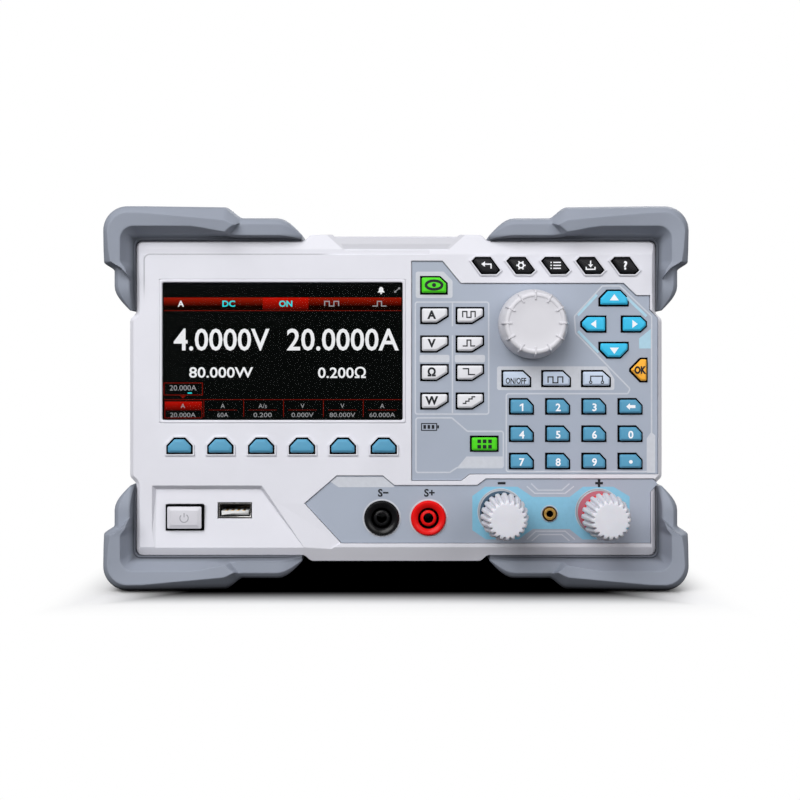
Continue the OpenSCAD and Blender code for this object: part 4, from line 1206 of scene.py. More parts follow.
@dataclass(frozen=True)
class KeyStyle:
    """Outline, finish and edge of one family of keys."""

    outline: Callable[[Point2], Outline]
    finish: Finish
    slot: str
    in_bezel: bool = False
    edge: float = 0.7
    ink: Finish = DARK_INK
    gap: float = 0.72


def menu_outline(size: Point2) -> Outline:
    """Returns the slanted outline of a menu key."""
    w, h, blunt, lift, lean = size[0] / 2, size[1] / 2, 1.7, 1.65, 4
    right = [(w - blunt, -h), (w, lift - h), (w - lean, h)]
    return right + [(-x, -z) for x, z in right]


def cut(**corners: Point2) -> Callable[[Point2], Outline]:
    """Returns a maker of rectangles with the given corners cut."""
    return partial(cut_box, **corners)


def ok_outline(size: Point2) -> Outline:
    """Returns the pointed outline of the OK key."""
    point = (4.4, size[1] / 2 - 0.6)
    return cut_box(size, bl=point, tl=point)


BLUE_CAP = Surface("blue_key_cap", (85, 153, 187), rough=0.4, relief=0.005)
CYAN_CAP = Surface("cyan_key_cap", (58, 190, 232), rough=0.32, relief=0.004)
GREEN_CAP = Surface("green_key_cap", (78, 216, 26), rough=0.36, relief=0.004)
WHITE_CAP = Surface("white_key_cap", (224, 224, 229), rough=0.4, relief=0.005)
PALE_CAP = Surface("pale_key_cap", (196, 209, 228), rough=0.4, relief=0.005)
BLACK_CAP = Surface("black_key_cap", (21, 21, 24), rough=0.45, relief=0.005, gloss=0.25)
ORANGE_CAP = Surface("orange_key_cap", (254, 180, 54), rough=0.36, relief=0.005)
POWER_CAP = Surface("power_key_cap", (208, 207, 214), rough=0.42, relief=0.006)

CORNER = (3.4, 3.5)
WEDGE = (2.6, 2.5)
STYLES: dict[KeyKind, KeyStyle] = {
    KeyKind.SOFT: KeyStyle(cut(tr=(3.1, 3.3), tl=(3.1, 3.3)), BLUE_CAP, "blue_key", True, 0.9),
    KeyKind.POWER: KeyStyle(cut(), POWER_CAP, "power_key", True, 1.5, EMBOSS_SHADE_INK, 0.85),
    KeyKind.MENU: KeyStyle(menu_outline, BLACK_CAP, "black_key", True, 0.6, LIGHT_INK),
    KeyKind.VIEW: KeyStyle(cut(tr=(3.1, 2.9)), GREEN_CAP, "green_key"),
    KeyKind.FUNCTION: KeyStyle(cut(br=(4.9, 3.05)), WHITE_CAP, "white_key"),
    KeyKind.APP: KeyStyle(cut(), GREEN_CAP, "green_key"),
    KeyKind.UP: KeyStyle(cut(tr=CORNER, tl=CORNER), CYAN_CAP, "cyan_key", ink=LIGHT_INK),
    KeyKind.DOWN: KeyStyle(cut(bl=CORNER, br=CORNER), CYAN_CAP, "cyan_key", ink=LIGHT_INK),
    KeyKind.LEFT: KeyStyle(cut(bl=WEDGE, tl=WEDGE), CYAN_CAP, "cyan_key", ink=LIGHT_INK),
    KeyKind.RIGHT: KeyStyle(cut(br=WEDGE, tr=WEDGE), CYAN_CAP, "cyan_key", ink=LIGHT_INK),
    KeyKind.OK: KeyStyle(ok_outline, ORANGE_CAP, "orange_key", edge=0.6),
    KeyKind.ACTION: KeyStyle(cut(tr=(3.3, 3.1)), PALE_CAP, "pale_key"),
    KeyKind.NUMBER: KeyStyle(cut(tr=(2.65, 2.9)), BLUE_CAP, "blue_key", ink=LIGHT_INK),
}


# Ink of a legend: how far it stands out of the cap and reaches into it, and its material slot
INK_OUT, INK_IN, INK_SLOT = 0.03, 0.02, 2


@dataclass(frozen=True)
class Words:
    """Words on a key, with their height, shift from the middle, weight and width."""

    text: str
    height: float
    shift: Point2 = (0, 0)
    weight: float = 0.02
    width: float | None = None

    def draw(self, draft: Draft, middle: Point2, front: float) -> None:
        """Writes the words on a cap.

        Args:
            draft: piece that takes the legend.
            middle: centre of the cap.
            front: depth of the cap's face.
        """
        spot = moved([self.shift], middle)[0]
        y0, y1 = front - INK_OUT, front + INK_IN
        draft.text(self.text, spot, self.height, y0, y1, INK_SLOT, self.weight, self.width)


@dataclass(frozen=True)
class Mark:
    """A stroke of a sign on a key, or a filled area where its width is 0."""

    path: Outline
    width: float = 0.0
    closed: bool = False

    def draw(self, draft: Draft, middle: Point2, front: float) -> None:
        """Draws the mark on a cap.

        Args:
            draft: piece that takes the legend.
            middle: centre of the cap.
            front: depth of the cap's face.
        """
        path = moved(self.path, middle)
        y0, y1 = front - INK_OUT, front + INK_IN
        if self.width:
            draft.strip(path, self.width, y0, y1, INK_SLOT, self.closed)
        else:
            draft.prism(path, y0, y1, INK_SLOT)


def triangle(turn: float, size: float = 1.5) -> list[Mark]:
    """Makes an arrow key's triangle.

    Args:
        turn: direction that it points along, in degrees.
        size: distance from its middle to its tip.

    Returns:
        The sign.
    """
    c, s = math.cos(math.radians(turn)), math.sin(math.radians(turn))
    tip = [(size, 0), (-0.7 * size, 1.25 * size), (-0.7 * size, -1.25 * size)]
    return [Mark([(x * c - z * s, x * s + z * c) for x, z in tip])]


SQUARE_WAVE = [(-3, -1.2), (-3, 1.2), (-1, 1.2), (-1, -1.2), (1, -1.2), (1, 1.2), (3, 1.2), (3, -1.2)]
PULSE = [(-3, -1.2), (-0.9, -1.2), (-0.9, 1.2), (0.9, 1.2), (0.9, -1.2), (3, -1.2)]
TOGGLE = [(-3, 1.2), (-0.2, 1.2), (-0.2, -1.2), (3, -1.2)]
STAIR = [(-3, -1.3), (-1.5, -1.3), (-1.5, -0.4), (0, -0.4), (0, 0.5), (1.5, 0.5), (1.5, 1.4), (3, 1.4)]

POWER = [
    Mark([(1.7 * math.sin(a), -0.15 + 1.7 * math.cos(a)) for a in steps(0.6, 5.7, 24)], 0.42),
    Mark([(0, 0.2), (0, 2.0)], 0.42),
]
EYE = [
    Mark([(3.3 * math.cos(a), 1.75 * math.sin(a)) for a in steps(0, 2 * math.pi, 28)], 1.1, True),
    Mark(disc((0, 0), 0.85, 20)),
]
ONE = [Mark([(0, -1.85), (0.62, -1.85), (0.62, 1.25), (0.1, 1.25), (-0.85, 0.62), (-0.85, 0.02), (0, 0.5)])]
POINT = [Mark(disc((0, -0.2), 0.75, 20))]
SHAFT = [(-0.4, -0.6), (1.9, -0.6), (1.9, 0.6), (-0.4, 0.6)]
BACK_ARROW = [Mark([(-1.9, 0), (-0.4, -1.35), *SHAFT, (-0.4, 1.35)])]
SQUARES = [Mark(moved(cut_box((1.5, 1.5)), (x, z))) for x in (-2.2, 0.0, 2.2) for z in (-1.1, 1.1)]
COG = [Mark(disc((0, 0), 1.05, 20), 0.6, True)]
COG += [Mark([(1.2 * c, 1.2 * s), (1.9 * c, 1.9 * s)], 0.6) for c, s in disc((0, 0), 1.0, 6)]
ROWS = [
    mark
    for z in (-1.2, 0.0, 1.2)
    for mark in (Mark([(-1.0, z), (2.1, z)], 0.45), Mark(moved(cut_box((0.55, 0.5)), (-1.9, z))))
]
TRAY = [
    Mark([(0, 1.9), (0, 0.2)], 0.5),
    Mark([(-1.0, 0.4), (0, -0.9), (1.0, 0.4)]),
    Mark([(-1.8, -0.6), (-1.8, -1.6), (1.8, -1.6), (1.8, -0.6)], 0.5),
]
TURN_BACK = [
    Mark([(2.0, -1.3), (2.0, 0.5), (-0.6, 0.5)], 0.5),
    Mark([(-2.0, 0.5), (-0.5, -0.6), (-0.5, 1.6)]),
]
BRIDGE = [Mark([(-2.4, -1.2), (-2.4, 1.0), (2.4, 1.0), (2.4, -1.2)], 0.45)]
BRIDGE += [Mark(disc((x, -1.5), 0.5, 14), 0.35, True) for x in (-2.4, 2.4)]

LEGENDS: dict[str, Sequence[Words | Mark]] = {
    "power_button": POWER,
    "menu_key_1": TURN_BACK,
    "menu_key_2": COG,
    "menu_key_3": ROWS,
    "menu_key_4": TRAY,
    "menu_key_5": [Words("?", 3.4, weight=0.05)],
    "display_key": EYE,
    "app_key": SQUARES,
    "up_key": triangle(90),
    "down_key": triangle(270),
    "left_key": triangle(180, 1.3),
    "right_key": triangle(0, 1.3),
    "ok_key": [Words("OK", 2.9, (0.5, 0), 0.08, 4.9)],
    "action_key_1": [Words("ON/OFF", 2.4, (-0.3, -0.9), 0.035, 8.4)],
    "action_key_2": [Mark(moved(SQUARE_WAVE, (-0.5, -0.5)), 0.5)],
    "action_key_3": BRIDGE,
    "number_key_1": ONE,
    "erase_key": BACK_ARROW,
    "point_key": POINT,
}
for number, letter in ((1, "A"), (3, "V"), (5, "Ω"), (7, "W")):
    LEGENDS[f"function_key_{number}"] = [Words(letter, 3.3, (-1.2, 0.3), 0.06)]
for number, signal in ((2, SQUARE_WAVE), (4, PULSE), (6, TOGGLE), (8, STAIR)):
    narrow = [(0.85 * x, z) for x, z in signal]
    LEGENDS[f"function_key_{number}"] = [Mark(moved(narrow, (-0.5, 0.4)), 0.5)]
for digit in "023456789":
    LEGENDS[f"number_key_{digit}"] = [Words(digit, 3.1, (0, -0.3), 0.035)]


@dataclass
class Keypad:
    """All the keys with their legends, and black frames in the gaps round them that paint the shade there.
    """

    flange: float = 0.2
    flange_deep: float = 0.8
    stem: float = 3.2
    bezel_back: float = 4.0
    panel_face: float = 0.6
    panel_back: float = 2.2
    gap_shade_out: float = 0.35
    gap_shade_in: float = 0.2
    gap_shade_deep: float = 0.6

    @staticmethod
    def kind(node: str) -> KeyKind:
        """Returns the family of a key from its name."""
        word = node.split("_")[0]
        return KeyKind.NUMBER if word in ("erase", "point") else KeyKind(word)

    def opening(self, node: str) -> tuple[Point2, Outline]:
        """Finds the opening of a key from the box of its node.

        Args:
            node: name of the key.

        Returns:
            The centre and the corners of the opening.
        """
        low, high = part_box(node)
        middle = middle_of(low, high)
        size = (high.x - low.x) / MM - 2 * self.flange, (high.z - low.z) / MM - 2 * self.flange
        return middle, moved(STYLES[self.kind(node)].outline(size), middle)

    def key(self, node: str) -> Piece:
        """Builds one key: cap with a sloped edge, black skirt, flange and stem that paint the shade in its
        gap, and legend.

        Args:
            node: name of the key.

        Returns:
            The finished piece on the key's own body.
        """
        style = STYLES[self.kind(node)]
        middle, opening = self.opening(node)
        front, end = depths_of(*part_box(node))
        base = 0.0 if style.in_bezel else self.panel_face
        back = (self.bezel_back if style.in_bezel else self.panel_back) + 0.1
        seat = back + self.flange_deep
        # the black skirt reaches up the cap's side to 0.95 mm behind its face: painted shade on the side
        # wall
        wall = min(base - 0.05, front + 0.95)
        edge = style.edge
        draft = Draft()

        def ring(depth: float, radius: float, y: float) -> Ring:
            """Returns the cap's outline, drawn in by a depth, at some y."""
            return ring_at(rounded(inset(opening, style.gap + depth), radius), y)

        draft.loft([ring(0, 0.6, seat), ring(0, 0.6, wall)], 1)
        cap = (
            (0, 0.6, wall + 0.01), (0, 0.6, front + 0.75), (0.05, 0.6, front + 0.6),
            (0.14, 0.56, front + 0.5), (edge - 0.1, 0.5, front + 0.1), (edge, 0.48, front + 0.02),
            (edge + 0.12, 0.45, front),
        )
        draft.loft([ring(*step) for step in cap])
        draft.prism(inset(opening, -self.flange), back, seat, 1)
        draft.prism(moved(cut_box((self.stem, self.stem)), middle), seat, end, 1)
        for item in LEGENDS.get(node, ()):
            item.draw(draft, middle, front)
        piece = draft.build(node + "_cap", [style.finish, SHADE_BLACK, style.ink], 24)
        return place(piece, node, style.slot, [node])

    def gap_shades(self, nodes: Sequence[str]) -> Piece:
        """Builds the black frames in the gaps round the keys, which paint the shade there.

        Args:
            nodes: names of the keys.

        Returns:
            One piece on the case.
        """
        draft = Draft()
        for node in nodes:
            style = STYLES[self.kind(node)]
            opening = self.opening(node)[1]
            front = self.gap_shade_in + (0.0 if style.in_bezel else self.panel_face)
            if style.in_bezel and node != "power_button":
                front = -self.gap_shade_out
            outer, inner = inset(opening, 0.005), inset(opening, style.gap - 0.12)
            draft.frame(outer, inner, front, front + self.gap_shade_deep)
        return place(draft.build("key_gaskets", [SHADE_BLACK]), CASE, "black_key")

    def build(self, nodes: Sequence[str]) -> None:
        """Builds every key and the gaskets.

        Args:
            nodes: names of the keys.
        """
        for node in nodes:
            self.key(node)
        self.gap_shades(nodes)


# Prints on the panels


class PrintInk(IntEnum):
    """Material slots of a panel's print."""

    LINE = 0
    PALE = 1
    FIELD = 2
    DARK = 3


@dataclass
class PanelPrints:
    """Lines, tags and signs printed on the two panels."""

    face: float = 0.6
    thick: float = 0.03
    sink: float = 0.02
    line: float = 0.6
    corner: float = 0.9
    sense_x: Point2 = (-5.8, 13.3)
    sense_z: float = 29.4

    def area(
        self, draft: Draft, outline: Path, slot: PrintInk, layer: int = 1, holes: Sequence[Path] = ()
    ) -> None:
        """Prints an outline, filled but for its holes, in a layer counted from the panel."""
        draft.pierced(outline, holes, self.face - self.thick * layer, self.face + self.sink, slot)

    def stroke(
        self, draft: Draft, path: Path, width: float | None = None, closed: bool = False,
        slot: PrintInk = PrintInk.LINE,
    ) -> None:
        """Prints a line over the areas."""
        y0 = self.face - 2 * self.thick
        draft.strip(path, width or self.line, y0, self.face + self.sink, slot, closed)

    def ring(
        self, draft: Draft, middle: Point2, outer: float, inner: float, slot: PrintInk, layer: int
    ) -> None:
        """Prints a ring in a layer counted from the panel."""
        y0, y1 = self.face - layer * self.thick, self.face + self.sink
        draft.frame(disc(middle, outer, 48), disc(middle, inner, 48), y0, y1, slot)

    def key_panel(self, keypad: Keypad) -> Piece:
        """Prints the frames, tags and strips of the key panel.

        Args:
            keypad: the keys, whose openings stay clear.

        Returns:
            One piece on the case.
        """
        draft = Draft()
        tag = rounded([(8.1, 119.5), (23.2, 119.5), (23.2, 126.5), (19.5, 130.3), (8.1, 130.3)], self.corner)
        self.area(draft, tag, PrintInk.PALE, holes=[keypad.opening("display_key")[1]])
        for x0, x1 in ((9.65, 21.97), (24.1, 36.5)):
            self.area(draft, rounded(box(x0, x1, 93.1, 96.2), 0.7), PrintInk.PALE)
        for frame in (
            box(7.95, 38.0, 71.95, 117.8),
            [
                (8.2, 48.06), (22.05, 48.06), (25.0, 50.0), (44.0, 50.0), (44.0, 64.9),
                (29.3, 64.9), (22.95, 70.4), (8.2, 70.4),
            ],
            [
                (45.2, 48.4), (104.7, 48.4), (104.7, 112.0), (91.7, 124.4), (84.5, 124.4),
                (73.1, 112.0), (73.6, 105.2), (95.9, 82.3), (95.0, 80.3), (45.2, 80.3),
            ],
        ):
            self.stroke(draft, rounded(frame, self.corner), closed=True)
        for z0, z1 in ((117.6, 107.9), (104.2, 72.1)):
            self.stroke(draft, [(23.15, z0), (23.15, z1)])
        self.area(draft, [(25.2, 50.1), (43.8, 50.1), (43.8, 54.6), (28.9, 54.6)], PrintInk.PALE)
        wedge = [(102.7, 47.9), (106.2, 47.9), (106.2, 63.2), (104.5, 64.6), (102.7, 62.0)]
        self.area(draft, rounded(wedge, 0.4), PrintInk.PALE, 3)
        plate = rounded([(41.4, 81.8), (89.5, 81.8), (89.5, 86.3), (86.3, 91.5), (41.4, 91.5)], self.corner)
        holes = [keypad.opening(f"action_key_{i}")[1] for i in (1, 2, 3)]
        self.area(draft, plate, PrintInk.PALE, holes=holes)
        for path in (
            [(74.5, 112.4), (82.3, 120.8)],
            [(74.6, 105.9), (83.0, 97.2)],
            [(94.4, 119.8), (102.6, 112.0)],
        ):
            self.stroke(draft, path, 1.1, slot=PrintInk.FIELD)
        self.area(draft, [(99.6, 98.8), (104.35, 98.8), (104.35, 106.8), (99.6, 102.9)], PrintInk.FIELD)
        self.battery(draft, (13.6, 66.7))
        piece = draft.build("key_panel_print", [LINE_INK, PALE_INK, MIST_INK, DARK_INK])
        return place(piece, CASE, "fascia")

    def battery(self, draft: Draft, middle: Point2) -> None:
        """Prints a small cell with its pole and bars.

        Args:
            draft: piece that takes the print.
            middle: centre of the cell.
        """
        x, z = middle
        self.stroke(draft, moved(cut_box((6.2, 2.8)), middle), 0.4, True, PrintInk.DARK)
        self.area(draft, moved(cut_box((0.7, 1.3)), (x + 3.7, z)), PrintInk.DARK)
        for k in range(3):
            self.area(draft, moved(cut_box((1.1, 1.6)), (x - 1.8 + 1.7 * k, z)), PrintInk.DARK)

    def terminal_panel(self) -> Piece:
        """Prints the blue field, the chevrons, the tab and the signs, as one piece on the case."""
        draft = Draft()
        tab = [(-23.5, 42.0), (-0.2, 42.0), (-5.0, 46.25), (-24.2, 46.25), (-26.8, 44.3)]
        self.area(draft, rounded(tab, 0.3), PrintInk.PALE)
        self.area(draft, [
            (31.3, 24.4), (36.9, 20.6), (50.2, 20.6), (56.0, 24.9), (71.1, 24.9), (76.4, 20.6),
            (89.1, 20.6), (95.7, 25.5), (95.7, 38.2), (89.1, 42.2), (76.6, 42.2), (71.1, 38.0),
            (56.0, 38.0), (49.8, 42.2), (36.5, 42.2), (31.3, 38.4),
        ], PrintInk.FIELD, holes=[disc(MINUS_POST, 9.3), disc(PLUS_POST, 9.3), disc(JACK, 3.1)])
        for middle, radius in ((MINUS_POST, 9.55), (PLUS_POST, 9.55), (JACK, 3.5)):
            self.ring(draft, middle, radius, radius - 0.3, PrintInk.LINE, 2)
        for path in (
            [(55.4, 43.5), (58.2, 40.8), (68.0, 40.8), (71.1, 43.5)],
            [(53.6, 42.4), (56.9, 39.5), (69.3, 39.5), (72.9, 42.4)],
            [(53.6, 20.6), (57.3, 24.0), (69.3, 24.0), (73.3, 20.6)],
            [(55.6, 20.0), (58.7, 22.6), (68.0, 22.6), (71.1, 20.0)],
        ):
            self.stroke(draft, path, 0.5)
        for x in self.sense_x:
            self.ring(draft, (x, self.sense_z), 7.85, 7.2, PrintInk.PALE, 1)
        for words, x, layer in (("S−", -5.2, 2), ("S+", 13.7, 1)):
            y0 = self.face - layer * self.thick
            draft.text(words, (x, 39.7), 3.1, y0, self.face + self.sink, PrintInk.DARK, 0.045)
        for x, size, layer in ((43.3, (3.2, 1.0), 1), (83.2, (3.2, 1.0), 1), (83.2, (1.0, 3.2), 2)):
            self.area(draft, moved(cut_box(size), (x, 43.65)), PrintInk.DARK, layer)
        piece = draft.build("terminal_panel_print", [LINE_INK, PALE_INK, BLUE_INK, DARK_INK])
        return place(piece, CASE, "fascia")


# Screen


class Glow(IntEnum):
    """Material slots of the picture."""

    DARK = 0
    WHITE = 1
    GREY = 2
    CYAN = 3
    RED = 4
    BAR = 5
    TAB = 6
    CELL = 7


@dataclass
class Screen:
    """The lit picture on the display module."""

    left: float = -95.37
    right: float = 2.57
    low: float = 69.71
    high: float = 125.65
    y: float = 0.45
    back: float = 3.98
    corner: float = 0.9
    rise: float = 0.012
    thick: float = 0.01
    draft: Draft = field(default_factory=Draft)

    def spot(self, px: float, pz: float) -> Point2:
        """Returns a place on the picture from shares of its width and height."""
        return self.left + (self.right - self.left) * px, self.low + (self.high - self.low) * pz

    def box(self, x0: float, x1: float, z0: float, z1: float) -> Outline:
        """Returns a rectangle from shares of the picture's width and height."""
        (a, c), (b, d) = self.spot(x0, z0), self.spot(x1, z1)
        return box(a, b, c, d)

    def fill(self, outline: Path, slot: Glow, layer: int = 1) -> None:
        """Fills an outline in a layer of the picture."""
        y = self.y - self.rise * layer
        self.draft.prism(outline, y, y + self.thick, slot)

    def line(self, path: Path, width: float, slot: Glow, layer: int = 1, closed: bool = False) -> None:
        """Draws a line in a layer of the picture."""
        y = self.y - self.rise * layer
        self.draft.strip(path, width, y, y + self.thick, slot, closed)

    def word(
        self, text: str, at: Point2, height: float, slot: Glow, layer: int = 1, weight: float = 0.0,
        width: float | None = None,
    ) -> None:
        """Writes a word in a layer of the picture, at shares of its width and height."""
        y = self.y - self.rise * layer
        self.draft.text(text, self.spot(*at), height, y, y + self.thick, slot, weight, width)

    def build(self) -> Piece:
        """Builds the picture as one piece on the case: bars, cells, readings and small signs."""
        low, high = 0.803, 0.893
        self.draft.prism(self.box(0, 1, 0, 1), self.y, self.back, Glow.DARK)
        self.fill(self.box(0.003, 0.997, low, high), Glow.BAR)
        self.fill(self.box(0.417, 0.608, low, high), Glow.TAB, 2)
        self.line([self.spot(0.003, 0.797), self.spot(0.997, 0.797)], 0.25, Glow.RED)
        middle = 0.848
        self.word("A", (0.075, middle), 2.5, Glow.WHITE, 3, 0.03)
        self.word("DC", (0.275, middle), 2.5, Glow.CYAN, 3, 0.03, 5.2)
        self.word("ON", (0.513, middle), 2.5, Glow.CYAN, 3, 0.03, 5.4)
        for wave, at in ((SQUARE_WAVE, 0.705), (PULSE, 0.905)):
            signal = moved([(px * 0.95, pz * 0.8) for px, pz in wave], self.spot(at, middle))
            self.line(signal, 0.42, Glow.GREY, 3)
        self.word("4.0000V", (0.245, 0.585), 9.1, Glow.WHITE, 1, 0.018, 39.2)
        self.word("20.0000A", (0.752, 0.585), 9.1, Glow.WHITE, 1, 0.018, 45.8)
        self.word("80.000W", (0.243, 0.345), 4.4, Glow.WHITE, 1, 0.02, 26.2)
        self.word("0.200Ω", (0.748, 0.345), 4.4, Glow.WHITE, 1, 0.02, 19.6)
        self.bell()
        self.line(self.box(0.004, 0.165, 0.18, 0.268), 0.3, Glow.RED, closed=True)
        self.word("20.000A", (0.084, 0.232), 2.3, Glow.GREY, width=11.0)
        self.line([self.spot(0.103, 0.194), self.spot(0.121, 0.194)], 0.5, Glow.CYAN)
        self.fill(moved([(0, -0.5), (1.2, 0.7), (-1.2, 0.7)], self.spot(0.084, 0.163)), Glow.RED)
        self.cells()
        bottom, top = self.spot(0, low)[1], self.spot(0, high)[1]
        finishes = [
            Lit("screen_dark", (7, 9, 8)),
            Lit("screen_white", (240, 240, 240)),
            Lit("screen_grey", (150, 150, 152)),
            Lit("screen_cyan", (40, 220, 222)),
            Lit("screen_red", (116, 18, 7)),
            Lit("screen_bar", (150, 26, 8), (16, 2, 0), bottom + 0.3 * (top - bottom), top),
            Lit("screen_tab", (190, 22, 8), (70, 5, 2), bottom, top),
            Lit("screen_cell", (180, 18, 8), (40, 4, 2), self.spot(0, 0.06)[1], self.spot(0, 0.13)[1]),
        ]
        return place(self.draft.build("screen_picture", finishes), CASE, "lcd")

    def bell(self) -> None:
        """Draws the bell and the link sign in the title bar."""
        right = [(1.5, -1.0), (0.95, -0.3), (0.85, 0.7), (0.35, 1.25)]
        left = [(-x, z) for x, z in reversed(right)]
        x, z = self.spot(0.912, 0.948)
        self.fill(moved(right + left, (x, z)), Glow.WHITE)
        self.fill(disc((x, z - 1.35), 0.35, 12), Glow.WHITE)
        x, z = self.spot(0.979, 0.948)
        self.line([(x - 0.75, z - 0.65), (x + 0.75, z + 0.65)], 0.3, Glow.GREY)
        for side in (-1, 1):
            self.fill(disc((x + 0.8 * side, z + 0.7 * side), 0.45, 10), Glow.GREY, 2)

    def cells(self) -> None:
        """Draws the six cells above the soft keys, the first one lit."""
        self.line([self.spot(0.003, 0.146), self.spot(0.997, 0.146)], 0.22, Glow.RED)
        heads = ("A", "A", "A/s", "V", "V", "A")
        values = ("20.000A", "60A", "0.200", "0.000V", "80.000V", "60.000A")
        for i, (head, value) in enumerate(zip(heads, values)):
            left, right = i / 6 + 0.004, (i + 1) / 6 - 0.004
            middle = (left + right) / 2
            if i == 0:
                self.fill(self.box(left + 0.004, right, 0.067, 0.132), Glow.CELL)
                self.line(self.box(left + 0.004, right, 0.012, 0.132), 0.25, Glow.RED, 2, True)
            else:
                self.line([self.spot(left, 0.02), self.spot(left, 0.14)], 0.25, Glow.RED)
                self.line([self.spot(left + 0.02, 0.07), self.spot(right - 0.02, 0.07)], 0.18, Glow.RED)
            self.word(head, (middle, 0.1), 1.9, Glow.GREY, 3)
            self.word(value, (middle, 0.034), 1.9, Glow.GREY, 3, width=1.5 * len(value))

    def ring(self, depth: float, y: float) -> Ring:
        """Returns the rounded outline of the picture, drawn in by a depth, at some y."""
        return ring_at(rounded(inset(self.box(0, 1, 0, 1), depth), self.corner, 6), y)

    def pane(self) -> None:
        """Builds the clear front with a fine edge, and the low rim round it."""
        glass = Draft()
        sharp = self.box(0, 1, 0, 1)
        glass.loft([ring_at(sharp, self.y - 0.03), ring_at(sharp, 0.24), ring_at(inset(sharp, 0.1), 0.16)])
        place(glass.build("screen_pane", [WINDOW]), CASE, "window", ["display_window"])
        rim = Draft()
        profile = (
            (-1.5, 0.05), (-1.4, -0.06), (-1.1, -0.15), (-0.8, -0.18), (-0.45, -0.1), (-0.2, 0.1),
            (-0.2, 0.14), (-0.25, 0.3),
        )
        rim.loft([self.ring(depth, y) for depth, y in profile], loop=True)
        place(rim.build("screen_rim", [BEZEL], 60), CASE, "bezel")


# Knobs and bumpers


@dataclass
class EncoderKnob:
    """The large knob: a tapered body, a dished face and ridges on its shoulder."""

    radius: float = 14.2
    face_radius: float = 11.3
    height: float = 12.5
    ridges: int = 12

    def build(self) -> None:
        """Builds the body and its ring of ridges on the knob's own body."""
        low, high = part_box("encoder_knob")
        spot = middle_of(low, high)
        top, end = depths_of(low, high)
        base = top + self.height
        shoulder = base - 0.45 * self.height
        r, f = self.radius, self.face_radius
        draft = Draft()
        draft.turned(spot, [
            (0, end), (3.0, end), (3.0, base - 4), (5.5, base - 4), (5.5, base), (r - 0.5, base),
            (r - 0.1, base - 0.25), (r, base - 0.7), (r - 0.25, shoulder + 1.5),
            (r - 0.4, shoulder + 0.3), (r - 0.62, shoulder - 0.35), (f + 1.25, top + 1.1),
            (f + 0.95, top + 0.45), (f + 0.5, top + 0.1), (f, top), (f - 0.4, top + 0.05),
            (f - 0.6, top + 0.15), (f - 0.75, top + 0.3), (f - 0.95, top + 0.36), (5, top + 0.36),
            (0, top + 0.36),
        ], sides=96)
        body = draft.build("encoder_knob_body", [KNOB_PLASTIC], 40)
        place(body, "encoder_knob", "knob", ["encoder_knob"])
        fin = Draft()
        profile = (
            (f + 2.3, 4.6), (f + 2.15, 2.0), (f + 1.75, 0.6), (f + 1.1, -0.2), (f - 0.4, -0.22),
            (f - 1.8, -0.05), (f - 2.2, 1.6), (f + 0.6, 4.6),
        )
        fin.loft([
            [(x - shrink, y + shrink * 0.7, z) for x, y in profile]
            for z, shrink in ((-0.34, 0.16), (-0.24, 0), (0.24, 0), (0.34, 0.16))
        ])
        ring = Repeat(Layout.RING, (self.ridges, 1), (0, 0), (spot[0], top, spot[1]))
        place(ring.build("encoder_knob_ridges", fin, KNOB_PLASTIC), "encoder_knob", "knob")


@dataclass
class PostKnob:
    """A milky fluted cap on a binding post."""

    node: str
    core: Finish
    crown: float = 9.4
    face: float = 6.4
    bore: float = 3.05
    flutes: int = 20

    def star(self, spot: Point2, radius: float, depth: float, y: float) -> Ring:
        """Returns a fluted outline.

        Args:
            spot: axis of the cap.
            radius: radius on the ribs.
            depth: depth of the flutes.
            y: depth behind the face of the bezel.

        Returns:
            Points round the cap.
        """
        count = self.flutes * 12
        points = []
        for i in range(count):
            a = 2 * math.pi * i / count
            wave = 0.5 + 0.5 * math.cos(a * self.flutes)
            r = radius - depth * (1 - min(1.0, 1.5 * wave)) ** 1.4
            points.append((spot[0] + r * math.cos(a), y, spot[1] + r * math.sin(a)))
        return points

    def build(self) -> None:
        """Builds the cap with its bore, and the beads between its flutes, on its own body."""
        low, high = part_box(self.node)
        spot = middle_of(low, high)
        front, back = depths_of(low, high)
        crown, face, tip = self.crown, self.face, 0.01
        profile = (
            (tip, 0, front + 3), (self.bore, 0, front + 3), (self.bore, 0, back), (crown - 0.9, 0, back),
            (crown - 0.25, 0.8, back - 0.3), (crown, 1.15, back - 0.7), (crown, 1.2, back - 4.2),
            (crown - 0.2, 1.2, back - 5.0), (face + 1.6, 1.2, front + 2.2), (face + 1.4, 1.3, front + 1.2),
            (face + 1.05, 1.05, front + 0.55), (face + 0.45, 0.5, front + 0.15),
            (face - 0.05, 0, front + 0.05), (face - 0.5, 0, front), (tip, 0, front),
        )
        draft = Draft()
        draft.loft([self.star(spot, *step) for step in profile])
        place(draft.build(self.node + "_cap", [POST_CAP], 50), self.node, "post_knob", [self.node])
        bead = Draft()
        turn = math.pi / self.flutes
        seat = (crown - 0.85) * math.cos(turn), (crown - 0.85) * math.sin(turn)
        bead.turned(seat, [(0, -0.75), (0.38, -0.7), (0.45, -0.5), (0.45, 0.05), (0, 0.05)], sides=12)
        ring = Repeat(Layout.RING, (self.flutes, 1), (0, 0), (spot[0], back, spot[1]))
        place(ring.build(self.node + "_beads", bead, self.core), self.node, "post_knob")


@dataclass
class Leg:
    """One leg of a bumper, measured from its tip towards the corner.

    Attributes:
        tip: where the leg starts, from the middle of the case.
        pad: where the ramp up to the thick pad starts.
        ramp: length of that ramp.
        strip_in: where the raised strip ends on its inner edge.
        strip_out: where it ends on its outer edge.
        drift: length over which the strip's outer edge leans towards the case.
        drift_in: length over which its inner edge does.
        lean: how far the outer edge leans, as a share of the thickness.
        drop: step from the thick pad down to the thin end.
        wide: thickness of the thick pad.
    """

    tip: float
    pad: float
    ramp: float
    strip_in: float
    strip_out: float
    drift: float
    drift_in: float
    lean: float
    drop: float
    wide: float


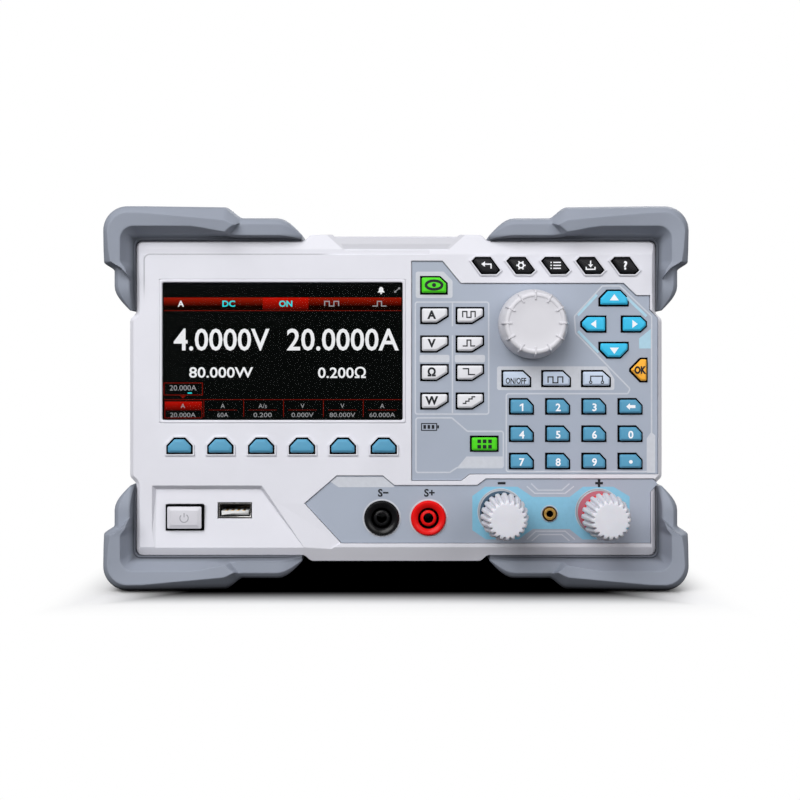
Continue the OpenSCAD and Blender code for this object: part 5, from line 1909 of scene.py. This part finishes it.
@dataclass
class Bumpers:
    """Eight rubber corners, lofted along an L round each corner of the case."""

    thin: float = 2.45
    thick: float = 14.0
    nose: float = 10.0
    depth: float = 38.0
    lip: float = 9.0
    radius: float = 10.0
    seat_r: float = 2.65

    PAD: tuple[Point2, ...] = (
        (0.0, -0.6), (0.03, -1.0), (0.06, -0.2), (0.1, -0.6), (0.22, -3.4), (0.36, -8.4),
        (0.76, -9.0), (0.895, -6.4), (0.985, -2.2), (1.0, 2.0),
    )
    THIN: tuple[Point2, ...] = (
        (0.0, -0.5), (0.03, -0.8), (0.055, -0.3), (0.08, -0.6), (0.11, -2.4), (0.17, -4.3),
        (0.68, -4.6), (0.86, -2.7), (0.98, 1.0), (1.0, 4.0),
    )
    STRIP = 5
    STRIP_STEPS = 8
    SOFT = (6, 14, 15, 16)

    @staticmethod
    def ease(t: float) -> float:
        """Returns a soft step from 0 to 1."""
        t = max(0.0, min(1.0, t))
        return t * t * (3 - 2 * t)

    @staticmethod
    def bend(
        a: Point2, p: Point2, b: Point2, wide: float, reach: float = 0.55, count: int = 3
    ) -> list[Point2]:
        """Rounds a corner of a section.

        Args:
            a: point before the corner.
            p: the corner.
            b: point after it.
            wide: thickness that the shares stand for.
            reach: how far from the corner the bend starts.
            count: pieces of the bend.

        Returns:
            Points of the bend.
        """
        start, end = (
            (p[0] + (q[0] - p[0]) * k, p[1] + (q[1] - p[1]) * k)
            for q in (a, b)
            for k in (min(0.4, reach / max(0.01, math.hypot((q[0] - p[0]) * wide, q[1] - p[1]))),)
        )
        curve = []
        for i in range(count + 1):
            t = i / count
            k0, k1, k2 = (1 - t) ** 2, 2 * t * (1 - t), t * t
            curve.append((k0 * start[0] + k1 * p[0] + k2 * end[0], k0 * start[1] + k1 * p[1] + k2 * end[1]))
        return curve

    def section(self, leg: Leg | None, at: float) -> tuple[float, list[Point2]]:
        """Works out the section of a leg.

        Args:
            leg: the leg, or None round the corner.
            at: distance from the middle of the case along the leg.

        Returns:
            Thickness of the rubber and its section as shares of that and depths.
        """
        rise, ramp, lean = 1.0, 1.0, (0.0, 0.0)
        wide = self.thick
        if leg:
            rise = math.sin(math.pi / 2 * max(0.0, min((at - leg.tip) / self.nose, 1.0)))
            ramp = self.ease((at - leg.pad) / leg.ramp)
            wide = self.thin + (leg.wide - leg.drop - self.thin) * rise + leg.drop * ramp
            lean = (
                0.17 * self.ease(1 - (at - leg.strip_in) / leg.drift_in),
                leg.lean * max(0.0, min(1.0, 1 - (at - leg.strip_out) / leg.drift)),
            )
        flat = 0.12 + 0.88 * rise
        pairs = list(zip(self.PAD, self.THIN))
        inner, outer = pairs[self.STRIP], pairs[self.STRIP + 1]
        front: list[Point2] = []

        def add(pad: Point2, thin: Point2, share: float, shift: float) -> None:
            """Adds a point between the thin section and the pad.

            Args:
                pad: the point on the pad.
                thin: the point on the thin section.
                share: its share across the strip, over 1 outside it.
                shift: how far it leans towards the case.
            """
            level = ramp
            if leg and share <= 1:
                edge = leg.strip_in + (leg.strip_out - leg.strip_in) * share
                level = self.ease((at - edge) / 1.8)
            low = thin[1] * flat if thin[1] < 0 else thin[1]
            front.append((thin[0] + (pad[0] - shift - thin[0]) * level, low + (pad[1] - low) * level))

        for k, (pad, thin) in enumerate(pairs):
            if k == self.STRIP:
                for t in steps(0, 1, self.STRIP_STEPS):
                    mid = [tuple(a + (b - a) * t for a, b in zip(inner[n], outer[n])) for n in (0, 1)]
                    add(mid[0], mid[1], t, lean[0] + (lean[1] - lean[0]) * t)
            elif k < self.STRIP:
                add(pad, thin, 0.0, lean[0] / 2 if k == self.STRIP - 1 else 0.0)
            elif k == self.STRIP + 1:
                add(pad, thin, 1.0, lean[1])
            else:
                add((pad[0], pad[1] + 18 * lean[1]), thin, 2.0, 0.0)
        chain = [(0.0, self.depth), *front, (1.0, self.depth - 6.0), (0.55, self.depth)]
        soft: list[Point2] = []
        for k, point in enumerate(chain):
            if k in self.SOFT:
                soft.extend(self.bend(chain[k - 1], point, chain[k + 1], wide))
            else:
                soft.append(point)
        return wide, soft

    def rings(self, side: Leg, top: Leg) -> list[Ring]:
        """Lists the sections of the upper right bumper, from its side tip round to its top tip.

        Args:
            side: the leg along the side.
            top: the leg along the top.

        Returns:
            Rings of points about the middle of the case.
        """
        found: list[Ring] = []
        for at in self.stations(side, HALF_H - self.seat_r):
            wide, section = self.section(side, at)
            found.append([(HALF_W + wide * s, y, at) for s, y in section])
        section = self.section(None, 0.0)[1]
        for k in range(0, 91, 5):
            c, s = math.cos(math.radians(k)), math.sin(math.radians(k))
            inner = (
                HALF_W - self.seat_r + self.seat_r * c,
                HALF_H - self.seat_r + self.seat_r * s,
            )
            outer = (
                HALF_W + side.wide - self.radius + self.radius * c,
                HALF_H + top.wide - self.radius + self.radius * s,
            )
            found.append([
                (inner[0] + (outer[0] - inner[0]) * f, y, inner[1] + (outer[1] - inner[1]) * f)
                for f, y in section
            ])
        for at in reversed(self.stations(top, HALF_W - self.seat_r)):
            wide, section = self.section(top, at)
            found.append([(at, y, HALF_H + wide * s) for s, y in section])
        return found

    def stations(self, leg: Leg, end: float) -> list[float]:
        """Lists where the sections of a leg stand, close together where the form changes.

        Args:
            leg: the leg.
            end: where it meets the corner.

        Returns:
            Distances from the middle of the case.
        """
        shares = (0, 0.02, 0.06, 0.13, 0.22, 0.34, 0.48, 0.64, 0.82, 1.0)
        places = {leg.tip + self.nose * t for t in shares}
        low = min(leg.strip_in, leg.strip_out, leg.pad) - 1.0
        high = max(leg.strip_in, leg.strip_out, leg.pad + leg.ramp) + 3.0
        places.update(low + 0.5 * i for i in range(int((high - low) / 0.5) + 1))
        places.update(high + (end - 1.5 - high) * i / 6 for i in range(1, 7))
        return sorted(p for p in places if p < end - 1.0)

    def build(self) -> None:
        """Builds the eight bumpers as one piece on the case."""
        low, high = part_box("corner_bumpers")
        out_w, out_h = (high.x - low.x) / 2 / MM, (high.z - low.z) / 2 / MM
        mid = (high.z + low.z) / 2 / MM
        length = (high.y - low.y) / MM - 2 * self.lip
        side = Leg(
            tip=35.9, pad=52.0, ramp=3.6, strip_in=48.2, strip_out=53.4, drift=10.0, drift_in=8.0,
            lean=0.12, drop=4.0, wide=out_w - HALF_W,
        )
        top = Leg(
            tip=38.5, pad=62.4, ramp=7.8, strip_in=67.2, strip_out=63.4, drift=40.0, drift_in=17.0,
            lean=0.26, drop=4.6, wide=out_h - HALF_H,
        )
        rings = self.rings(side, top)
        draft = Draft()
        for rear in (0, 1):
            for sx in (1, -1):
                for sz in (1, -1):
                    draft.loft([
                        [(sx * x, length - y if rear else y, mid + sz * z) for x, y, z in ring]
                        for ring in rings
                    ])
        piece = draft.build("rubber_bumpers", [RUBBER], 30)
        place(piece, CASE, "bumper", ["corner_bumpers"])


# Sockets, hardware and inner pieces


@dataclass
class Hardware:
    """Metal fittings: posts, jack and screws, and the sockets at front and rear."""

    dresser: NodeDresser
    rear: float = 400.0
    inside: float = 100.0
    screw_head: float = 3.0

    # Middles of the sockets in x and z, and of the pins of the mains inlet
    USB = (-66.095, 32.4)
    USB_TONGUE = (-66.095, 31.3)
    REAR_USB = (67.5, 31.3)
    HEADER = (88.5, 30.9)
    NETWORK = (49.0, 31.25)
    SERIAL_X = 21.0
    MAINS = ((67.0, 93.59), (81.0, 93.59), (74.0, 98.79))

    # Borders between the rear sockets: the inlet lies above the first, the others to the right of theirs
    MAINS_ABOVE = 60
    HEADER_FROM, REAR_USB_FROM, NETWORK_FROM = 76, 60, 38

    # Depths of the hollows: the front socket's start and end, and the rear sockets' limit
    USB_HOLLOW = (1.95, 12.5)
    REAR_HOLLOW = 0.7

    # Radii: of a 4 mm plug's hole with some room, of the jack's zone, and of its brass ring
    PLUG_HOLE = 2.2
    JACK_ZONE = 4
    JACK_RING = (1.5, 2.5)

    def metal(self, middle: Vector, normal: Vector) -> int | None:
        """Picks the metal of studs, nuts and jack, and leaves out the rear screws.

        Args:
            middle: centre of a face.
            normal: its normal; not used.

        Returns:
            The slot of brass round the jack, darker brass inside and outside its ring and black in the sense
            sockets' holes as painted shade, and zinc elsewhere.
        """
        zinc, brass, hollow, shaded_brass = range(4)
        if middle.y > self.inside:
            return None
        near = min(abs(middle.x - SENSE_MINUS[0]), abs(middle.x - SENSE_PLUS[0]))
        # black in the sense sockets' holes: painted shade
        if max(abs(middle.z - SENSE_PLUS[1]), near) < self.PLUG_HOLE:
            return hollow
        far = math.hypot(middle.x - JACK[0], middle.z - JACK[1])
        if far > self.JACK_ZONE:
            return zinc
        # darker brass inside and outside the brass ring: painted shade
        inner, outer = self.JACK_RING
        return brass if inner <= far <= outer else shaded_brass

    def studs(self) -> None:
        """Copies studs, nuts and jack with their metals, and leaves the screws to their own piece."""
        finishes = [STEEL, BRASS, SHADE_BLACK, SHADED_BRASS]
        made = self.dresser.copy("studs_and_screws", "studs_and_jack", finishes, self.metal)
        place(made, CASE, "hardware", ["studs_and_screws"])

    @staticmethod
    def dense(ring: Path, fine: int = 4) -> Outline:
        """Returns an outline with points added along its edges."""
        ends = [*ring[1:], ring[0]]
        return [
            (a[0] + (b[0] - a[0]) * t / fine, a[1] + (b[1] - a[1]) * t / fine)
            for a, b in zip(ring, ends)
            for t in range(fine)
        ]

    def screws(self) -> None:
        """Builds the rear screws with cross recesses on a grid."""
        low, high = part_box("studs_and_screws")
        r, h = self.screw_head, depths_of(low, high)[1] - self.rear
        arms = []
        for k in range(4):
            for turn, reach in ((-0.2, 0.52), (0.2, 0.52), (math.pi / 4, 0.16)):
                a = math.pi / 2 * k + turn
                arms.append((r * reach * math.cos(a), r * reach * math.sin(a)))
        rim = [unit(x, z) for x, z in self.dense([unit(x, z) for x, z in arms])]
        cross = self.dense(arms)
        head = Draft()
        head.loft([ring_at([(x * size, z * size) for x, z in ring], y) for ring, size, y in (
            (rim, r / 2, -8), (rim, r / 2, 0), (rim, r, 0), (rim, r, 0.5 * h), (rim, r * 0.93, 0.72 * h),
            (rim, r * 0.8, 0.9 * h), (rim, r * 0.66, h), (cross, 1.0, h), (cross, 0.75, 0.2 * h),
        )])
        box_low, box_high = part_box("cover")
        middle = (box_low.z + box_high.z) / 2
        height = 2 * max(high.z - middle, middle - low.z) / MM - 2 * r
        span = (high.x - low.x) / MM - 2 * r, height
        grid = Repeat(Layout.GRID, (3, 2), span, (0, self.rear, middle / MM))
        place(grid.build("rear_screws", head, STEEL), CASE, "hardware")

    @staticmethod
    def within(spot: Vector, middle: Point2, size: Point2, edge: float = 0.06) -> bool:
        """Returns whether a place lies in a rectangle, its edge included."""
        across, up = abs(spot.x - middle[0]), abs(spot.z - middle[1])
        return across < size[0] / 2 + edge and up < size[1] / 2 + edge

    def socket(self, middle: Vector, normal: Vector) -> int | None:
        """Picks the finish of a face from the socket that it belongs to.

        Args:
            middle: centre of a face.
            normal: its normal.

        Returns:
            The slot of metal shell, dark plastic, pale tongue or green header.
        """
        shell, dark, tongue, green = range(4)
        x, y, z = middle
        # faces inside the mouths of the sockets take the dark plastic: painted shade in the hollows
        if y < self.inside:
            start, end = self.USB_HOLLOW
            if y < end and self.within(middle, self.USB_TONGUE, (11.0, 1.8)):
                return tongue
            return dark if start < y < end and self.within(middle, self.USB, (12.4, 5.0)) else shell
        depth = y - self.rear
        hollow = depth < self.REAR_HOLLOW
        if z > self.MAINS_ABOVE:
            pin = depth < 0.6 and any(self.within(middle, p, (2.0, 4.0)) for p in self.MAINS)
            return shell if pin else dark
        if x > self.HEADER_FROM:
            return dark if hollow and self.within(middle, self.HEADER, (20.28, 4.98)) else green
        if x > self.REAR_USB_FROM:
            if depth < 0.1 and self.within(middle, self.REAR_USB, (5.6, 3.2)):
                return tongue
            return dark if hollow and self.within(middle, self.REAR_USB, (8.6, 7.8)) else shell
        if x > self.NETWORK_FROM:
            return dark if hollow and self.within(middle, self.NETWORK, (11.88, 9.58)) else shell
        return dark if normal.y > 0.9 and abs(depth - 0.6) < 0.05 else shell

    def connectors(self) -> None:
        """Copies the sockets with metal shells, dark insides that paint the shade in their mouths, and
        plastic bodies.
        """
        finishes = [NICKEL, BLACK_PLASTIC, LIGHT_TONGUE, GREEN_HEADER]
        made = self.dresser.copy("connectors", "sockets", finishes, self.socket)
        place(made, CASE, "connector", ["connectors"])

    def contacts(self) -> None:
        """Builds the contacts of the front socket and the pins of the serial socket."""
        strip = Draft()
        strip.prism(rounded(cut_box((1.1, 0.16)), 0.05), 0, 6.5)
        row = Repeat(Layout.GRID, (4, 1), (7.0, 0), (self.USB[0], 2.6, 32.24))
        place(row.build("front_socket_contacts", strip, BRASS), CASE, "connector")
        for name, count, height in (("upper", 5, 33.57), ("lower", 4, 30.73)):
            pin = Draft()
            pin.turned((0, 0), [(0, 0), (0.5, 0), (0.5, 4.3), (0.3, 4.8), (0, 4.9)], sides=16)
            span = 2.77 * (count - 1)
            pins = Repeat(Layout.GRID, (count, 1), (span, 0), (self.SERIAL_X, self.rear + 0.55, height))
            place(pins.build(f"serial_pins_{name}", pin, BRASS), CASE, "connector")

    @staticmethod
    def terminal(axis: Point2, middle: Vector, normal: Vector) -> int | None:
        """Picks the finish of a terminal's face from its distance to the axes.

        Args:
            axis: axis of the post.
            middle: centre of the face.
            normal: its normal.

        Returns:
            The slot of body, collar, base ring or a black hollow that is painted shade.
        """
        body, collar, ring, hollow = range(4)
        far = math.hypot(middle.x - axis[0], middle.z - axis[1])
        if far > 12 or middle.y > 2:
            # black in the plug holes and round their mouths: painted shade
            near = min(math.hypot(middle.x - x, middle.z - z) for x, z in (SENSE_MINUS, SENSE_PLUS))
            wall = 3.2 < near < 4.4 and abs(normal.y) < 0.5
            return hollow if near < Hardware.PLUG_HOLE or wall or 3.4 < near < 4.25 else body
        return ring if middle.y > -1.3 and far > 8.4 else collar

    def terminals(self) -> None:
        """Copies the terminals: plain sockets, and milky collars with pale base rings."""
        for node, axis, slot, core, collar in (
            ("negative_terminals", MINUS_POST, "terminal_black", BLACK_PLASTIC, DARK_COLLAR),
            ("positive_terminals", PLUS_POST, "terminal_red", RED_PLASTIC, ROSE_COLLAR),
        ):
            finishes = [core, collar, COLLAR_RING, SHADE_BLACK]
            made = self.dresser.copy(node, node + "_dressed", finishes, partial(self.terminal, axis))
            place(made, CASE, slot, [node])

    def build(self) -> None:
        """Builds all the fittings in order."""
        self.studs()
        self.screws()
        self.connectors()
        self.contacts()
        self.terminals()


# Studio


@dataclass
class Studio:
    """Floor, lights, world and camera."""

    ambient: float = 0.2
    eye: Point3 = (-0.0016, -0.748, 0.090)
    lens: float = 61.6
    shift: Point2 = (0.01, -0.0375)
    drop: float = 0.0003

    LAMPS = (
        ("key_light", (-0.6, -1.45, 1.0), (0, -0.15, 0.08), 1.3, 28.8),
        ("fill_light", (0.9, -1.4, 0.65), (0, -0.1, 0.08), 1.0, 7.5),
        ("top_light", (0.0, 0.2, 1.4), (0, 0.0, 0.1), 1.4, 2.5),
        ("rear_light", (0.5, 1.9, 0.9), (0, 0.2, 0.08), 1.1, 24.0),
    )

    # Start and end along x and along y, in metres, of the floor's turn to white and of the fading of its
    # painted shadow
    WHITE_FROM = ((0.114, 0.137), (0.196, 0.25))
    PAINTED_SHADOW_FADE = ((0.083, 0.118), (0.19, 0.224))

    def camera(self) -> None:
        """Sets the camera level in front of the object."""
        data = bpy.data.cameras.new("front_camera")
        data.lens, data.sensor_width = self.lens, 36.0
        data.shift_x, data.shift_y = self.shift
        data.clip_start, data.clip_end = 0.01, 50.0
        camera = into_scene("front_camera", data)
        camera.location = self.eye
        camera.rotation_euler = (math.pi / 2, 0, 0)
        bpy.context.scene.camera = camera

    @staticmethod
    def seen(tree: bpy.types.NodeTree) -> Socket:
        """Adds a test for rays that show the background itself.

        Args:
            tree: tree that takes the nodes.

        Returns:
            A socket that is 1 for those rays.
        """
        path = tree.nodes.new("ShaderNodeLightPath")
        first = tree.nodes.new("ShaderNodeMath")
        first.operation = "MAXIMUM"
        tree.links.new(path.outputs["Is Camera Ray"], first.inputs[0])
        tree.links.new(path.outputs["Is Transmission Ray"], first.inputs[1])
        return first.outputs[0]

    def world(self) -> None:
        """Sets a white background and a softer even light."""
        world = bpy.data.worlds.new("studio_world")
        world.use_nodes = True
        tree = world.node_tree
        tree.nodes.clear()
        out = tree.nodes.new("ShaderNodeOutputWorld")
        sky = tree.nodes.new("ShaderNodeBackground")
        sky.inputs["Color"].default_value = (1, 1, 1, 1)
        mix = tree.nodes.new("ShaderNodeMix")
        mix.inputs[2].default_value = self.ambient
        mix.inputs[3].default_value = 1.0
        tree.links.new(self.seen(tree), mix.inputs[0])
        tree.links.new(mix.outputs[0], sky.inputs["Strength"])
        tree.links.new(sky.outputs["Background"], out.inputs["Surface"])
        bpy.context.scene.world = world

    def lamp(self, name: str, spot: Point3, aim: Point3, size: float, power: float) -> None:
        """Adds a square soft light.

        Args:
            name: name of the light.
            spot: its place in metres.
            aim: the point it faces.
            size: its side.
            power: its power in watts.
        """
        data = bpy.data.lights.new(name, "AREA")
        data.energy, data.size = power, size
        lamp = into_scene(name, data)
        lamp.location = spot
        lamp.rotation_euler = (Vector(aim) - Vector(spot)).to_track_quat("-Z", "Y").to_euler()

    def paper(self) -> bpy.types.Material:
        """Returns the floor's material, which keeps the lamps' shadow and a painted shadow near the object
        and is white further away.
        """
        graph = Graph("floor_paper")
        tinted = graph.tint((246, 246, 247), graph.noise(120.0), 0.005)
        graph.set(Roughness=0.9, Specular_IOR_Level=0.0)
        x, y = (graph.math("ABSOLUTE", axis) for axis in graph.axes()[:2])
        far, light = (
            graph.math("MAXIMUM", graph.ramp(x, *across), graph.ramp(y, *deep))
            for across, deep in (self.WHITE_FROM, self.PAINTED_SHADOW_FADE)
        )
        # painted shadow: the floor's colour and its white glow darken under and round the case
        graph.shade(tinted, light)
        white = graph.add("ShaderNodeEmission")
        graph.link(light, white.inputs["Strength"])
        bounce = graph.add("ShaderNodeBsdfDiffuse")
        bounce.inputs["Color"].default_value = (0.11, 0.11, 0.11, 1.0)
        seen = self.seen(graph.tree)
        near = graph.blend(seen, bounce.outputs[0], graph.shader.outputs[0])
        whole = graph.blend(graph.math("MULTIPLY", far, seen), near, white.outputs[0])
        graph.link(whole, graph.output.inputs["Surface"])
        return graph.material

    def floor(self) -> None:
        """Lays a pale floor."""
        mesh = bpy.data.meshes.new("floor")
        bm = bmesh.new()
        bmesh.ops.create_grid(bm, x_segments=2, y_segments=2, size=8.0)
        bm.to_mesh(mesh)
        bm.free()
        mesh.materials.append(self.paper())
        floor = into_scene("floor", mesh)
        floor.location.z = -self.drop
        floor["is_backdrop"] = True

    def build(self) -> None:
        """Sets up the whole studio."""
        bpy.context.scene.view_settings.view_transform = "Standard"
        self.camera()
        self.world()
        for lamp in self.LAMPS:
            self.lamp(*lamp)
        self.floor()


PLAIN_NODES: dict[str, Finish] = {
    "front_bezel": BEZEL,
    "fascia_panels": PANEL,
    "lcd_module": LCD_FRAME,
    "cover": COVER,
    "chassis": STEEL,
    "circuit_boards": BOARD,
    "heat_sink": ALUMINIUM,
    "fan_frame": BLACK_PLASTIC,
    "fan_rotor": BLACK_PLASTIC,
}


def main() -> None:
    """Builds every class in order."""
    logging.basicConfig(level=logging.INFO, format="%(name)s: %(message)s")
    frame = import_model()
    cad_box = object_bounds()
    dresser = NodeDresser(frame["nodes"])
    for node, finish in PLAIN_NODES.items():
        dresser.dress(node, finish)
    keys = [n for n in frame["nodes"] if n.endswith(("_key", "_button")) or "_key_" in n]
    keypad = Keypad()
    keypad.build(sorted(keys))
    prints = PanelPrints()
    prints.key_panel(keypad)
    prints.terminal_panel()
    screen = Screen()
    screen.build()
    screen.pane()
    EncoderKnob().build()
    PostKnob("minus_post_knob", BLACK_PLASTIC).build()
    PostKnob("plus_post_knob", RED_PLASTIC).build()
    Bumpers().build()
    Hardware(dresser).build()
    Studio().build()
    boxes = {"cad": cad_box, "visual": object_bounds()}
    {k: [list(corner) for corner in box] for k, box in boxes.items()}


if __name__ == "__main__":
    main()
